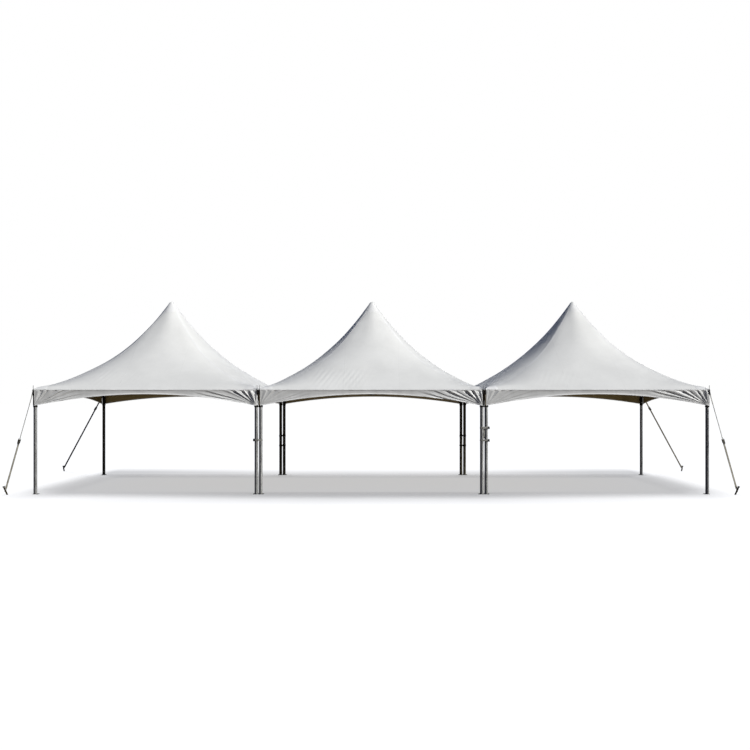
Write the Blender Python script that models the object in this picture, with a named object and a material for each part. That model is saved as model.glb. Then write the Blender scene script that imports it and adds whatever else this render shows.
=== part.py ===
"""A three-bay frame marquee: three square bays with peaked vinyl tops, tube legs and tied-down corners.

Metres, +Z up, ground at z = 0, X along the row of bays, -Y towards the front. The origin is on the
ground, in the middle of the row and halfway between the front stakes and the rear ones.
"""

import math

import bmesh
import bpy
from mathutils import Matrix, Vector

SEAT = 0.0003  # gap kept between two pieces that touch

# Bays
PITCH = 6.12  # from one bay's centre to the next
BAYS = {"left": -PITCH, "centre": 0.0, "right": PITCH}
LEG_OFFSET = 3.0  # leg axes from the bay's centre, in X and in Y
CORNERS = {
    "front_left": (-1, -1),
    "front_right": (1, -1),
    "rear_right": (1, 1),
    "rear_left": (-1, 1),
}

# Canopy
TOP_HALF = 3.056  # half the width of a bay's top, at the eave seam
EAVE_Z = 2.84
EAVE_RISE = 1.92  # the roof's straight part: rise from eave to peak
CURVE_RISE = 0.84  # the roof's swept part, which grows as the cube of the way in
CORNER_SHARE = 0.22  # share of the turn from round to square that comes late, close to the corners
CORNER_POWER = 24.0  # how late that share comes
PEAK_Z = 5.55
CROWN_RINGS = ((0.026, 5.54), (0.052, 5.50))  # half-width and height of the rounded crown
ROOF_RINGS = (0.22, 0.48, 0.8, 1.15, 1.55, 1.95, 2.35, 2.65, 2.84, 2.95)  # half-widths of the roof's rings
SHEET = 0.003  # thickness modelled for the vinyl, with its hem
VALANCE_END = 3.01  # where each valance stops short of the corner
VALANCE_CORNER_Z = 2.40
VALANCE_MIDDLE_Z = 2.69
SLIT = VALANCE_END / TOP_HALF
SIDE_PLACES = (-1.0, -SLIT, -0.8, -0.6, -0.35, 0.0, 0.35, 0.6, 0.8, SLIT)  # along a ring's side

# Frame
LEG_R = 0.048
LEG_TOP = 2.785
FOOT = 0.14  # side of the square foot plate
FOOT_IN = 0.015  # how far the plate's centre lies inwards of the leg
FOOT_T = 0.010
RAIL_R = 0.030
SLEEVE_R = 0.0524
SLEEVE_BOTTOM = 2.36
SLEEVE_TOP = 2.8365
COLLAR_R = 0.0585
COLLAR_TOP = 2.395
BAR_Z = 2.76  # the bar that a guy strap hangs from
BAR_R = 0.008
BAR_OUT = 3.122  # where the bar ends, in front of the top
BAR_SIDE = 3.03  # its place between the valance's end and the corner
KNOB_R = 0.012
TIE_Y = 3.092  # where along the bar the guy strap hangs
PIN_Y = 3.072
PIN_R = 0.007
PIN_TOP = 2.95

# King pole and crossed cables
POLE_R = 0.030
HUB_R = 0.070
HUB_Z = 2.70
HUB_T = 0.06
CABLE_R = 0.005
CABLE_Z = 2.765

# Straps, ratchets and stakes
STRAP_T = 0.003
FRONT_UPPER_WIDTH = 0.025  # a front strap is narrow above its ratchet
REAR_UPPER_WIDTH = 0.044
LOWER_WIDTH = 0.050
STAKE_R = 0.022
STAKE_HEAD_R = 0.038
STAKE_HEAD = 0.022  # height of a stake's head
FRONT_STAKE = (0.70, 0.15)  # how far out and how far forward of the leg a front stake stands
REAR_STAKE = (1.88, 1.50)  # how far out and how far back of the leg a rear stake stands
FRONT_STAKE_TOP = (0.09, 0.03, 0.23)  # a front stake's head from its foot: out, forward and up
REAR_STAKE_TOP = (0.04, 0.02, 0.19)
TIE_SHARE = 0.5  # how far up its stake a strap is tied
MIDDLE_Y = 0.67  # from the bays' centre line back to the origin, halfway between the stakes
FRONT_RATCHET = 0.50  # share of a front strap's length above its ratchet
REAR_RATCHET = 0.19
CHEEK = 0.120  # length of a ratchet's side plate
RATCHET_GAP = 0.030  # half the run of strap that a ratchet takes up
RATCHET_BACK = 0.010  # from a ratchet's middle plane to the back of its side plates
BEND = 8  # facets of a band round one leg
LEG_BANDS = {  # side, front or rear, height, and whether it has a ratchet
    "front_left": (-1, -1, 1.47, True),
    "front_right": (1, -1, 1.46, True),
    "front_right_upper": (1, -1, 1.80, True),
    "rear_left": (-1, 1, 1.33, False),
    "rear_left_lower": (-1, 1, 1.00, False),
    "rear_right": (1, 1, 1.33, False),
    "rear_right_lower": (1, 1, 1.00, False),
}

ROUND = 16  # facets of a tube
SMALL_ROUND = 8  # facets of a bar, pin or cable


def clear_scene():
    for item in list(bpy.data.objects):
        bpy.data.objects.remove(item, do_unlink=True)


def make_material(name, colour, roughness, metallic):
    material = bpy.data.materials.new(name)
    material.use_nodes = True
    shader = material.node_tree.nodes["Principled BSDF"]
    shader.inputs["Base Color"].default_value = (*colour, 1.0)
    shader.inputs["Roughness"].default_value = roughness
    shader.inputs["Metallic"].default_value = metallic
    material.diffuse_color = (*colour, 1.0)
    return material


def mesh_from(bm, name, material, angle=40.0):
    bmesh.ops.recalc_face_normals(bm, faces=bm.faces)
    for edge in bm.edges:
        edge.smooth = edge.calc_face_angle(0.0) < math.radians(angle)
    for face in bm.faces:
        face.smooth = True
    mesh = bpy.data.meshes.new(name)
    bm.to_mesh(mesh)
    bm.free()
    mesh.materials.append(material)
    return mesh


def place(name, mesh, location=(0.0, 0.0, 0.0), turn=0.0):
    item = bpy.data.objects.new(name, mesh)
    item.location = location
    item.rotation_euler = (0.0, 0.0, turn)
    bpy.context.scene.collection.objects.link(item)
    return item


def rod(start, end, radius, facets=ROUND, end_radius=None):
    """A closed round bar from one point to another."""
    start, end = Vector(start), Vector(end)
    along = end - start
    bm = bmesh.new()
    bmesh.ops.create_cone(
        bm,
        cap_ends=True,
        segments=facets,
        radius1=radius,
        radius2=radius if end_radius is None else end_radius,
        depth=along.length,
    )
    turn = along.to_track_quat("Z", "Y").to_matrix().to_4x4()
    bmesh.ops.transform(bm, matrix=Matrix.Translation((start + end) / 2) @ turn, verts=bm.verts)
    return bm


def block(low, high):
    """A closed box between two corners."""
    low, high = Vector(low), Vector(high)
    bm = bmesh.new()
    bmesh.ops.create_cube(bm, size=1.0)
    for vert in bm.verts:
        vert.co = Vector(l + (h - l) * (c + 0.5) for l, h, c in zip(low, high, vert.co))
    return bm


def solid_mesh(name, bodies, cuts, material, angle=40.0):
    """One mesh of the bodies joined together, less the cuts."""
    work = bpy.data.collections.new("work")
    bpy.context.scene.collection.children.link(work)
    groups = []
    for shapes in (bodies[1:], cuts):
        group = bpy.data.collections.new("operands")
        work.children.link(group)
        for bm in shapes:
            operand = bpy.data.objects.new("operand", mesh_from(bm, "operand", material))
            group.objects.link(operand)
        groups.append(group)
    base = bpy.data.objects.new("base", mesh_from(bodies[0], "base", material))
    work.objects.link(base)
    for operation, group in zip(("UNION", "DIFFERENCE"), groups):
        if group.objects:
            modifier = base.modifiers.new(operation, "BOOLEAN")
            modifier.operation = operation
            modifier.solver = "EXACT"
            modifier.operand_type = "COLLECTION"
            modifier.collection = group
    depsgraph = bpy.context.evaluated_depsgraph_get()
    joined = bmesh.new()
    joined.from_object(base, depsgraph)
    bmesh.ops.remove_doubles(joined, verts=joined.verts, dist=0.00002)
    bmesh.ops.dissolve_degenerate(joined, edges=joined.edges, dist=0.00002)
    bmesh.ops.triangulate(joined, faces=joined.faces)
    for group in groups:
        for operand in list(group.objects):
            bpy.data.objects.remove(operand, do_unlink=True)
        bpy.data.collections.remove(group)
    bpy.data.objects.remove(base, do_unlink=True)
    bpy.data.collections.remove(work)
    return mesh_from(joined, name, material, angle)


# The roof's form


def roof_height(half_width):
    """Height of the roof's outer face where its ring has this half-width."""
    inwards = 1.0 - half_width / TOP_HALF
    return EAVE_Z + EAVE_RISE * inwards + CURVE_RISE * inwards**3


def squareness(half_width):
    """How square the roof's ring is: 0 for a circle, and 1 from the last ring but the eave outwards."""
    outwards = min(1.0, half_width / ROOF_RINGS[-1])
    return (1.0 - CORNER_SHARE) * outwards**3 + CORNER_SHARE * outwards**CORNER_POWER


def ring_point(half_width, side, across):
    """A point of a ring that is round at the peak and square at the eave."""
    square = Vector((across, -1.0))
    angle = math.radians(45.0) * across
    circle = Vector((math.sin(angle), -math.cos(angle)))
    point = circle.lerp(square, squareness(half_width)) * half_width
    return Matrix.Rotation(math.radians(90.0) * side, 2) @ point


def canopy_mesh(material):
    """The bay's sheet: crown, roof and the four valances sewn to its edge, made solid."""
    bm = bmesh.new()
    places = [(side, across) for side in range(4) for across in SIDE_PLACES]
    levels = list(CROWN_RINGS)
    levels += [(w, roof_height(w)) for w in ROOF_RINGS]
    levels.append((TOP_HALF, EAVE_Z))
    peak = bm.verts.new((0.0, 0.0, PEAK_Z))
    rings = []
    for half_width, height in levels:
        ring = []
        for side, across in places:
            flat = ring_point(half_width, side, across)
            ring.append(bm.verts.new((flat.x, flat.y, height)))
        rings.append(ring)
    for step in range(len(places)):
        after = (step + 1) % len(places)
        bm.faces.new((peak, rings[0][step], rings[0][after]))
        for inner, outer in zip(rings, rings[1:]):
            bm.faces.new((inner[step], outer[step], outer[after], inner[after]))
    add_valances(bm, rings[-1])
    sheet = place("sheet", mesh_from(bm, "sheet", material))
    solidify = sheet.modifiers.new("thickness", "SOLIDIFY")
    solidify.thickness = SHEET
    solidify.offset = -1.0
    solidify.use_even_offset = True
    solid = bmesh.new()
    solid.from_object(sheet, bpy.context.evaluated_depsgraph_get())
    bpy.data.objects.remove(sheet, do_unlink=True)
    bmesh.ops.triangulate(solid, faces=solid.faces)
    return mesh_from(solid, "canopy", material)


def add_valances(bm, eave):
    """Hangs an arched strip from each side of the eave, with a slit at each corner."""
    drop = VALANCE_MIDDLE_Z - VALANCE_CORNER_Z
    count = len(SIDE_PLACES)
    for side in range(4):
        turn = Matrix.Rotation(math.radians(90.0) * side, 2)
        top = eave[side * count + 1 : (side + 1) * count]
        bottom = []
        for across in SIDE_PLACES[1:]:
            flat = turn @ Vector((across * TOP_HALF, -TOP_HALF))
            height = VALANCE_MIDDLE_Z - drop * (across / SLIT) ** 2
            bottom.append(bm.verts.new((flat.x, flat.y, height)))
        for i in range(len(bottom) - 1):
            bm.faces.new((top[i], bottom[i], bottom[i + 1], top[i + 1]))


# The frame


def rail_height():
    """Height of a rail's axis that leaves the roof's inner face resting on the rail."""
    ring = ROOF_RINGS[-1]
    slope = (roof_height(ring) - EAVE_Z) / (TOP_HALF - ring)
    inner = EAVE_Z + slope * (TOP_HALF - LEG_OFFSET) - SHEET * math.hypot(1.0, slope)
    return inner - (RAIL_R + SEAT) * math.hypot(1.0, slope)


def leg_mesh(material):
    half = FOOT / 2
    plate = block(
        (FOOT_IN - half, FOOT_IN - half, 0.0),
        (FOOT_IN + half, FOOT_IN + half, FOOT_T),
    )
    tube = rod((0, 0, FOOT_T / 2), (0, 0, LEG_TOP), LEG_R)
    return solid_mesh("leg", [plate, tube], [], material)


def frame_mesh(material):
    """Four rails, and at each corner a sleeve with its collar, strap bar and upright pin."""
    bodies = []
    cuts = []
    height = rail_height()
    for side in range(4):
        turn = Matrix.Rotation(math.radians(90.0) * side, 4, "Z")
        away = LEG_OFFSET
        rail = rod((-away, -away, height), (away, -away, height), RAIL_R)
        sleeve = rod((away, -away, SLEEVE_BOTTOM), (away, -away, SLEEVE_TOP), SLEEVE_R)
        collar = rod((away, -away, SLEEVE_BOTTOM + 0.002), (away, -away, COLLAR_TOP), COLLAR_R)
        bore = rod((away, -away, SLEEVE_BOTTOM - 0.1), (away, -away, LEG_TOP + SEAT), LEG_R + SEAT)
        for bm in (rail, sleeve, collar, bore):
            bmesh.ops.transform(bm, matrix=turn, verts=bm.verts)
        bodies += [rail, sleeve, collar]
        cuts.append(bore)
    for across in (-1, 1):
        for front in (-1, 1):
            bodies += corner_bar(across, front)
    return solid_mesh("eave_frame", bodies, cuts, material)


def corner_bar(across, front):
    """The bar that a guy strap hangs from and the upright pin on it, at one corner."""
    x = across * BAR_SIDE
    bar = rod((x, front * (LEG_OFFSET + 0.02), BAR_Z), (x, front * BAR_OUT, BAR_Z), BAR_R, SMALL_ROUND)
    pin = rod((x, front * PIN_Y, BAR_Z), (x, front * PIN_Y, PIN_TOP), PIN_R, SMALL_ROUND)
    knob = rod((x, front * (BAR_OUT - 0.004), BAR_Z), (x, front * (BAR_OUT + 0.006), BAR_Z), KNOB_R, 10)
    return [bar, pin, knob]


def pole_mesh(material):
    """The mast from the hub to the crown, with the four crossed cables that carry it."""
    rim, top = CROWN_RINGS[1], CROWN_RINGS[0]
    under = 0.0045
    bodies = [
        rod((0, 0, HUB_Z + HUB_T / 2), (0, 0, rim[1] - 0.05), POLE_R),
        rod((0, 0, HUB_Z), (0, 0, HUB_Z + HUB_T), HUB_R),
        rod((0, 0, rim[1] - 0.09), (0, 0, rim[1] - 0.03), POLE_R - 0.002, ROUND, rim[0] - 0.008),
        rod((0, 0, rim[1] - 0.031), (0, 0, rim[1] - under), rim[0] - 0.008, ROUND, rim[0] - 0.005),
        rod((0, 0, rim[1] - under - 0.001), (0, 0, top[1] - under), rim[0] - 0.006, ROUND, top[0] - 0.003),
    ]
    for across in (-1, 1):
        for front in (-1, 1):
            corner = Vector((across * LEG_OFFSET, front * LEG_OFFSET, CABLE_Z))
            inwards = Vector((-across, -front, 0.0)).normalized()
            end = corner + inwards * (SLEEVE_R + SEAT)
            bodies.append(rod((across * 0.03, front * 0.03, HUB_Z + HUB_T / 2), end, CABLE_R, SMALL_ROUND))
    return solid_mesh("king_pole", bodies, [], material)


# Straps


def band_between(start, end, width, sideways):
    """A flat strap between two points, its width along sideways."""
    start, end = Vector(start), Vector(end)
    along = (end - start).normalized()
    across = (Vector(sideways) - along * along.dot(Vector(sideways))).normalized()
    normal = along.cross(across)
    bm = bmesh.new()
    ends = []
    for point in (start, end):
        loop = []
        for a, b in ((-1, -1), (1, -1), (1, 1), (-1, 1)):
            loop.append(bm.verts.new(point + across * a * width / 2 + normal * b * STRAP_T / 2))
        ends.append(loop)
    bm.faces.new(ends[0])
    bm.faces.new(ends[1])
    for i in range(4):
        after = (i + 1) % 4
        bm.faces.new((ends[0][i], ends[0][after], ends[1][after], ends[1][i]))
    return bm


def clear_reach(axis, radius, along, across, width):
    """How far from a round bar's axis a strap must end, for all of its end to clear the bar."""
    axis = Vector(axis).normalized()
    normal = along.cross(across)
    offsets = [
        across * a * width / 2 + normal * b * STRAP_T / 2
        for a in (-1.0, -0.5, 0.0, 0.5, 1.0)
        for b in (-1, 1)
    ]
    reach = radius + SEAT
    while min((along * reach + o).cross(axis).length for o in offsets) < radius + SEAT:
        reach += SEAT / 2
    return reach


def ratchet_bodies():
    """A closed webbing ratchet along Z, its webbing slot along X and its handle towards +Y."""
    half = LOWER_WIDTH / 2 + 0.002
    bodies = [
        rod((-half - 0.006, 0.004, 0.018), (half + 0.006, 0.004, 0.018), 0.012, 10),
        rod((-half - 0.006, 0.0, -0.020), (half + 0.006, 0.0, -0.020), 0.007, SMALL_ROUND),
        block((-half - 0.001, 0.026, -0.085), (half + 0.001, 0.031, 0.030)),
    ]
    for side in (-1, 1):
        low, high = sorted((side * half, side * (half + 0.004)))
        bodies.append(block((low, -RATCHET_BACK, -CHEEK / 2), (high, 0.020, CHEEK / 2)))
        low, high = sorted((side * (half - 0.003), side * (half + 0.002)))
        bodies.append(block((low, 0.008, -0.02), (high, 0.030, 0.029)))
    return bodies


def along_turn(direction, sideways):
    """The turn that takes Z along direction and X along sideways."""
    z = Vector(direction).normalized()
    x = (Vector(sideways) - z * z.dot(Vector(sideways))).normalized()
    y = z.cross(x)
    return Matrix((x, y, z)).transposed().to_4x4()


def guy_points(across, front):
    """The bar end, stake foot and stake head of one outer corner."""
    bay = across * PITCH
    bar = Vector((bay + across * BAR_SIDE, front * TIE_Y, BAR_Z))
    out, away = FRONT_STAKE if front < 0 else REAR_STAKE
    foot = Vector((bay + across * (LEG_OFFSET + out), front * (LEG_OFFSET + away), 0.0))
    top = FRONT_STAKE_TOP if front < 0 else REAR_STAKE_TOP
    return bar, foot, foot + Vector((across * top[0], front * top[1], top[2]))


def add_guy(corner, across, front, webbing, steel, iron):
    """One outer corner's straps, ratchet and stake."""
    bar, foot, head = guy_points(across, front)
    tie = foot.lerp(head, TIE_SHARE)
    along = (tie - bar).normalized()
    sideways = Vector((0, 1, 0)).cross(along).normalized()
    upper_width = FRONT_UPPER_WIDTH if front < 0 else REAR_UPPER_WIDTH
    start = bar + along * clear_reach((0, 1, 0), BAR_R, along, sideways, upper_width)
    end = tie - along * clear_reach(head - foot, STAKE_R, -along, sideways, LOWER_WIDTH)
    share = FRONT_RATCHET if front < 0 else REAR_RATCHET
    middle = start.lerp(end, share)
    upper = band_between(start, middle - along * RATCHET_GAP, upper_width, sideways)
    lower = band_between(middle + along * (RATCHET_GAP - 0.0025), end, LOWER_WIDTH, sideways)
    place(f"guy_strap_upper_{corner}", mesh_from(upper, "guy_strap_upper", webbing))
    place(f"guy_strap_lower_{corner}", mesh_from(lower, "guy_strap_lower", webbing))
    ratchet = place(f"guy_ratchet_{corner}", steel)
    ratchet.matrix_world = Matrix.Translation(middle) @ along_turn(-along, sideways)
    add_stake(corner, foot, head, iron)


def add_stake(corner, foot, head, iron):
    """A leaning round stake with a head, cut off level at the ground."""
    along = (head - foot).normalized()
    shaft = rod(foot - along * 0.1, head - along * STAKE_HEAD / 2, STAKE_R, 12)
    cap = rod(head - along * STAKE_HEAD, head, STAKE_HEAD_R, 12)
    ground = block((foot.x - 1, foot.y - 1, -1.0), (foot.x + 1, foot.y + 1, 0.0))
    place(f"stake_{corner}", solid_mesh("stake", [shaft, cap], [ground], iron))


def band_loop(height, material):
    """A webbing loop drawn round two legs that stand side by side in X."""
    inner = LEG_R + SEAT
    apart = PITCH / 2 - LEG_OFFSET
    loops = []
    bm = bmesh.new()
    for radius in (inner, inner + STRAP_T):
        for z in (height - LOWER_WIDTH / 2, height + LOWER_WIDTH / 2):
            loop = []
            for step in range(2 * BEND + 2):
                side = 1 if step <= BEND else -1
                angle = math.pi * (step - (step > BEND)) / BEND - math.pi / 2
                x = side * apart + radius * math.cos(angle)
                loop.append(bm.verts.new((x, radius * math.sin(angle), z)))
            loops.append(loop)
    count = len(loops[0])
    for low, high in ((0, 1), (1, 3), (3, 2), (2, 0)):
        for i in range(count):
            after = (i + 1) % count
            bm.faces.new((loops[low][i], loops[low][after], loops[high][after], loops[high][i]))
    return mesh_from(bm, "leg_band", material)


def add_leg_bands(webbing, ratchet):
    """The bands that tie each pair of inner legs together, and the ratchets of the front ones."""
    for name, (across, front, height, has_ratchet) in LEG_BANDS.items():
        spot = Vector((across * PITCH / 2, front * LEG_OFFSET, 0.0))
        place(f"leg_band_{name}", band_loop(height, webbing), spot)
        if has_ratchet:
            reach = PITCH / 2 - LEG_OFFSET + LEG_R + RATCHET_BACK + SEAT
            item = place(f"leg_ratchet_{name}", ratchet)
            turn = along_turn((0, across, 0), (0, 0, 1))
            item.matrix_world = Matrix.Translation(spot + Vector((across * reach, 0, height))) @ turn


def main():
    clear_scene()
    vinyl = make_material("vinyl", (0.86, 0.86, 0.87), 0.45, 0.0)
    tube = make_material("aluminium_tube", (0.42, 0.42, 0.43), 0.45, 0.9)
    fitting = make_material("galvanised_fitting", (0.16, 0.16, 0.17), 0.55, 0.8)
    mast = make_material("mast", (0.45, 0.45, 0.46), 0.45, 0.9)
    webbing = make_material("webbing", (0.55, 0.55, 0.54), 0.85, 0.0)
    plated = make_material("plated_steel", (0.30, 0.30, 0.31), 0.45, 0.9)
    iron = make_material("iron_bar", (0.10, 0.09, 0.07), 0.75, 0.7)

    canopy = canopy_mesh(vinyl)
    frame = frame_mesh(fitting)
    pole = pole_mesh(mast)
    leg = leg_mesh(tube)
    for bay, x in BAYS.items():
        place(f"canopy_{bay}", canopy, (x, 0, 0))
        place(f"eave_frame_{bay}", frame, (x, 0, 0))
        place(f"king_pole_{bay}", pole, (x, 0, 0))
        for number, (corner, (across, front)) in enumerate(CORNERS.items()):
            spot = (x + across * LEG_OFFSET, front * LEG_OFFSET, 0)
            place(f"leg_{bay}_{corner}", leg, spot, math.radians(90.0) * number)

    ratchet = solid_mesh("ratchet", ratchet_bodies(), [], plated)
    for corner, (across, front) in CORNERS.items():
        add_guy(corner, across, front, webbing, ratchet, iron)
    add_leg_bands(webbing, ratchet)

    # All of it was placed from the bays' centre line
    for item in bpy.context.scene.objects:
        item.location.y -= MIDDLE_Y


main()
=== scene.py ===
import logging
import math
import random
from contextlib import contextmanager
from dataclasses import dataclass, field
from enum import Enum
from typing import Callable, Iterator, Sequence

import bmesh
import bpy
import numpy as np
from mathutils import Matrix, Vector


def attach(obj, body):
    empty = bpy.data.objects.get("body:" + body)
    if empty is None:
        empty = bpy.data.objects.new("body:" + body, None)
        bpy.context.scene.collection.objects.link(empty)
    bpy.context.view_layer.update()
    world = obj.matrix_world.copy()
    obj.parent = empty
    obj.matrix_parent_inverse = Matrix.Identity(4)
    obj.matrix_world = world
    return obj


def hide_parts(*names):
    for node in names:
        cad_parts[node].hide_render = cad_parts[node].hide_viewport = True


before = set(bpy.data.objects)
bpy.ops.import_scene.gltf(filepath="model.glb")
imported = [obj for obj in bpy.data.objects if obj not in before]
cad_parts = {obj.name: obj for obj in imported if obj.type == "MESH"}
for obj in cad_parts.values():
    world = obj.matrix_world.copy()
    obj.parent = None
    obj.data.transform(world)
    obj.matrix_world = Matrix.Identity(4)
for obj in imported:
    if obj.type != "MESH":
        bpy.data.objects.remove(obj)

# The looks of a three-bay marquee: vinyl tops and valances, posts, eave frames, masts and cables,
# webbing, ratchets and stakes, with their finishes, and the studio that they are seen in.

logging.basicConfig(level=logging.INFO, format="%(message)s")
log = logging.getLogger("marquee")

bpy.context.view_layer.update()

# Sizes that the frame was made to, in metres, round the bays' centre line

PITCH = 6.12
MIDDLE_Y = 0.67  # from the bays' centre line back to the origin
BAYS: dict[str, float] = {"left": -PITCH, "centre": 0.0, "right": PITCH}
CORNERS: dict[str, tuple[int, int]] = {
    "front_left": (-1, -1),
    "front_right": (1, -1),
    "rear_right": (1, 1),
    "rear_left": (-1, 1),
}
LEG_OFFSET = 3.0
LEG_R = 0.048
SLEEVE_R = 0.0524
EAVE_HALF = 3.056
EAVE_Z = 2.84
PEAK_Z = 5.55
RAIL_Z = 2.8359
BAR_SIDE = 3.03
BAR_Z = 2.76
TIE_Y = 3.092
SEAT = 0.0003

Item = bpy.types.Object
Socket = bpy.types.NodeSocket
NodeInput = float | tuple | Socket
Point = Sequence[float]
Picker = Callable[[Vector, Vector], bool]  # takes a middle, and a normal or a direction

WAVE_SCALE = 0.314  # at this scale a wave texture repeats once a unit


class Side(Enum):
    """The four sides of a bay, as quarter turns from the front."""

    FRONT = 0
    RIGHT = 1
    REAR = 2
    LEFT = 3

    def turn(self) -> Matrix:
        """Gives the turn that takes the front onto this side."""
        return Matrix.Rotation(self.value * math.pi / 2, 4, "Z")


# Nodes and finishes


def linear(code: str) -> tuple[float, float, float, float]:
    """Turns an sRGB hex colour into the linear one that shaders take.

    Args:
        code: Six hex digits.

    Returns:
        Linear red, green and blue, and an alpha of 1.
    """
    parts = [int(code[i : i + 2], 16) / 255.0 for i in (0, 2, 4)]
    made = [c / 12.92 if c <= 0.04045 else ((c + 0.055) / 1.055) ** 2.4 for c in parts]
    return (made[0], made[1], made[2], 1.0)


def feed_socket(tree: bpy.types.NodeTree, socket: Socket, value: NodeInput) -> None:
    """Links a socket to another, or sets its value.

    Args:
        tree: The node tree that holds both.
        socket: What is fed.
        value: A value or an output socket.
    """
    if isinstance(value, Socket):
        tree.links.new(value, socket)
    else:
        socket.default_value = value


def add_node(
    tree: bpy.types.NodeTree, kind: str, settings: dict | None = None, **feeds: NodeInput
) -> bpy.types.Node:
    """Adds a node with its settings, and feeds its inputs.

    Args:
        tree: The node tree that gets it.
        kind: Blender's name for the node type.
        settings: Properties of the node itself.
        feeds: Input name, with spaces as underscores, or i and its number, to a value or a socket.

    Returns:
        The node.
    """
    node = tree.nodes.new(kind)
    for name, value in (settings or {}).items():
        setattr(node, name, value)
    for name, value in feeds.items():
        place = int(name[1:]) if name[0] == "i" and name[1:].isdigit() else name.replace("_", " ")
        feed_socket(tree, node.inputs[place], value)
    return node


class Palette:
    """The nodes of one material, with short ways to the few patterns that the finishes share."""

    def __init__(self, name: str) -> None:
        """Starts a material with its shader.

        Args:
            name: The material's name.
        """
        self.material = bpy.data.materials.new(name)
        self.material.use_nodes = True
        self.tree = self.material.node_tree
        self.shader = self.tree.nodes["Principled BSDF"]

    def node(self, kind: str, settings: dict | None = None, **feeds: NodeInput) -> bpy.types.Node:
        """Adds a node to this material."""
        return add_node(self.tree, "ShaderNode" + kind, settings, **feeds)

    def feed(self, **feeds: NodeInput) -> None:
        """Feeds the shader's own inputs, named with underscores for spaces."""
        for name, value in feeds.items():
            feed_socket(self.tree, self.shader.inputs[name.replace("_", " ")], value)

    def place(self, source: str = "Object", scale: tuple[float, float, float] = (1.0, 1.0, 1.0)) -> Socket:
        """Gives Object or UV coordinates, scaled so that a pattern gets that much finer along each axis."""
        start = self.node("TexCoord").outputs[source]
        return self.node("Mapping", None, Vector=start, Scale=scale).outputs["Vector"]

    def noise(self, where: Socket, size_mm: float, detail: float = 4.0, rough: float = 0.55) -> Socket:
        """Gives a cloudy pattern whose patches have that size, from 0 to 1."""
        feeds = {"Vector": where, "Scale": 1000.0 / size_mm, "Detail": detail, "Roughness": rough}
        return self.node("TexNoise", None, **feeds).outputs["Fac"]

    def maths(self, kind: str, first: NodeInput, second: NodeInput = 0.0) -> Socket:
        """Gives a sum, product or other result of two values."""
        return self.node("Math", {"operation": kind}, i0=first, i1=second).outputs[0]

    def spread(self, value: Socket, low: float, high: float, to_low: float, to_high: float) -> Socket:
        """Gives a value moved from one range to another, held at the ends."""
        node = self.node("MapRange", None, Value=value, i1=low, i2=high, i3=to_low, i4=to_high)
        return node.outputs["Result"]

    def blend(self, share: NodeInput, first: NodeInput, second: NodeInput) -> Socket:
        """Gives one colour that goes over into another with the share."""
        return self.node("Mix", {"data_type": "RGBA"}, i0=share, i6=first, i7=second).outputs[2]

    def bump(self, height: Socket, mm: float, strength: float = 1.0, over: Socket | None = None) -> Socket:
        """Gives a normal roughened by a height.

        Args:
            height: The height, from 0 to 1.
            mm: What 1 stands for, in millimetres.
            strength: How much of it shows.
            over: A normal that it is laid over.

        Returns:
            The normal's socket.
        """
        feeds: dict[str, NodeInput] = {"Height": height, "Distance": mm / 1000.0, "Strength": strength}
        if over is not None:
            feeds["Normal"] = over
        return self.node("Bump", None, **feeds).outputs["Normal"]


@dataclass(frozen=True)
class Vinyl:
    """PVC-coated polyester cloth: a smooth coat over a scrim, creased and streaked by rain."""

    name: str
    clean: str
    soiled: str
    roughness: float
    crease_mm: float = 0.5
    streak: float = 0.25
    seam_every: float = 0.0
    foot_z: float = 0.0
    foot_soil: str = "8C8A82"
    splash: float = 0.16
    lap: float = 0.025
    thread_mm: float = 9.0

    def build(self) -> bpy.types.Material:
        """Makes the node material.

        Returns:
            The material.
        """
        p = Palette(self.name)
        where = p.place()
        cloud = p.noise(where, 900.0)
        streaks = p.noise(p.place(scale=(9.0, 9.0, 0.55)), 1000.0, 5.0, 0.65)
        mixed = p.maths("MULTIPLY", cloud, 1.0 - self.streak)
        mixed = p.maths("ADD", mixed, p.maths("MULTIPLY", streaks, self.streak))
        colour = p.blend(p.spread(mixed, 0.38, 0.62, 0.0, 1.0), linear(self.soiled), linear(self.clean))
        if self.foot_z:
            height = p.node("SeparateXYZ", None, Vector=where).outputs["Z"]
            low = p.spread(height, self.foot_z, self.foot_z + self.splash, 0.42, 0.0)
            patchy = p.maths("MULTIPLY", low, p.spread(p.noise(where, 45.0, 6.0), 0.35, 0.65, 0.1, 1.0))
            colour = p.blend(patchy, colour, linear(self.foot_soil))
        # The scrim's threads are 1.1 mm apart, too fine to show, and are drawn 9 mm apart
        sheet = p.place("UV", (1000.0 / self.thread_mm, 1000.0 / self.thread_mm, 1.0))
        threads = []
        for way in ("X", "Y"):
            wave = p.node("TexWave", {"bands_direction": way}, Vector=sheet, Scale=WAVE_SCALE)
            threads.append(wave.outputs["Fac"])
        normal = p.bump(p.maths("MULTIPLY", *threads), 0.12, 0.35)
        creases = p.noise(p.place(scale=(1.0, 1.0, 0.6)), 170.0, 3.0, 0.6)
        normal = p.bump(creases, self.crease_mm * 10.0, 0.12, normal)
        if self.seam_every:
            # Heat-welded laps between the panels of cloth, 25 mm wide
            u = p.node("SeparateXYZ", None, Vector=p.place("UV")).outputs["X"]
            share = p.maths("FRACT", p.maths("ADD", p.maths("DIVIDE", u, self.seam_every), 0.5))
            lap = p.maths("LESS_THAN", share, self.lap / self.seam_every)
            colour = p.blend(p.maths("MULTIPLY", lap, 0.35), colour, linear(self.soiled))
            normal = p.bump(lap, 1.0, 0.5, normal)
        rough = p.spread(streaks, 0.3, 0.7, self.roughness - 0.07, self.roughness + 0.09)
        p.feed(Base_Color=colour, Normal=normal, Roughness=rough, Specular_IOR_Level=0.45)
        return p.material


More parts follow.
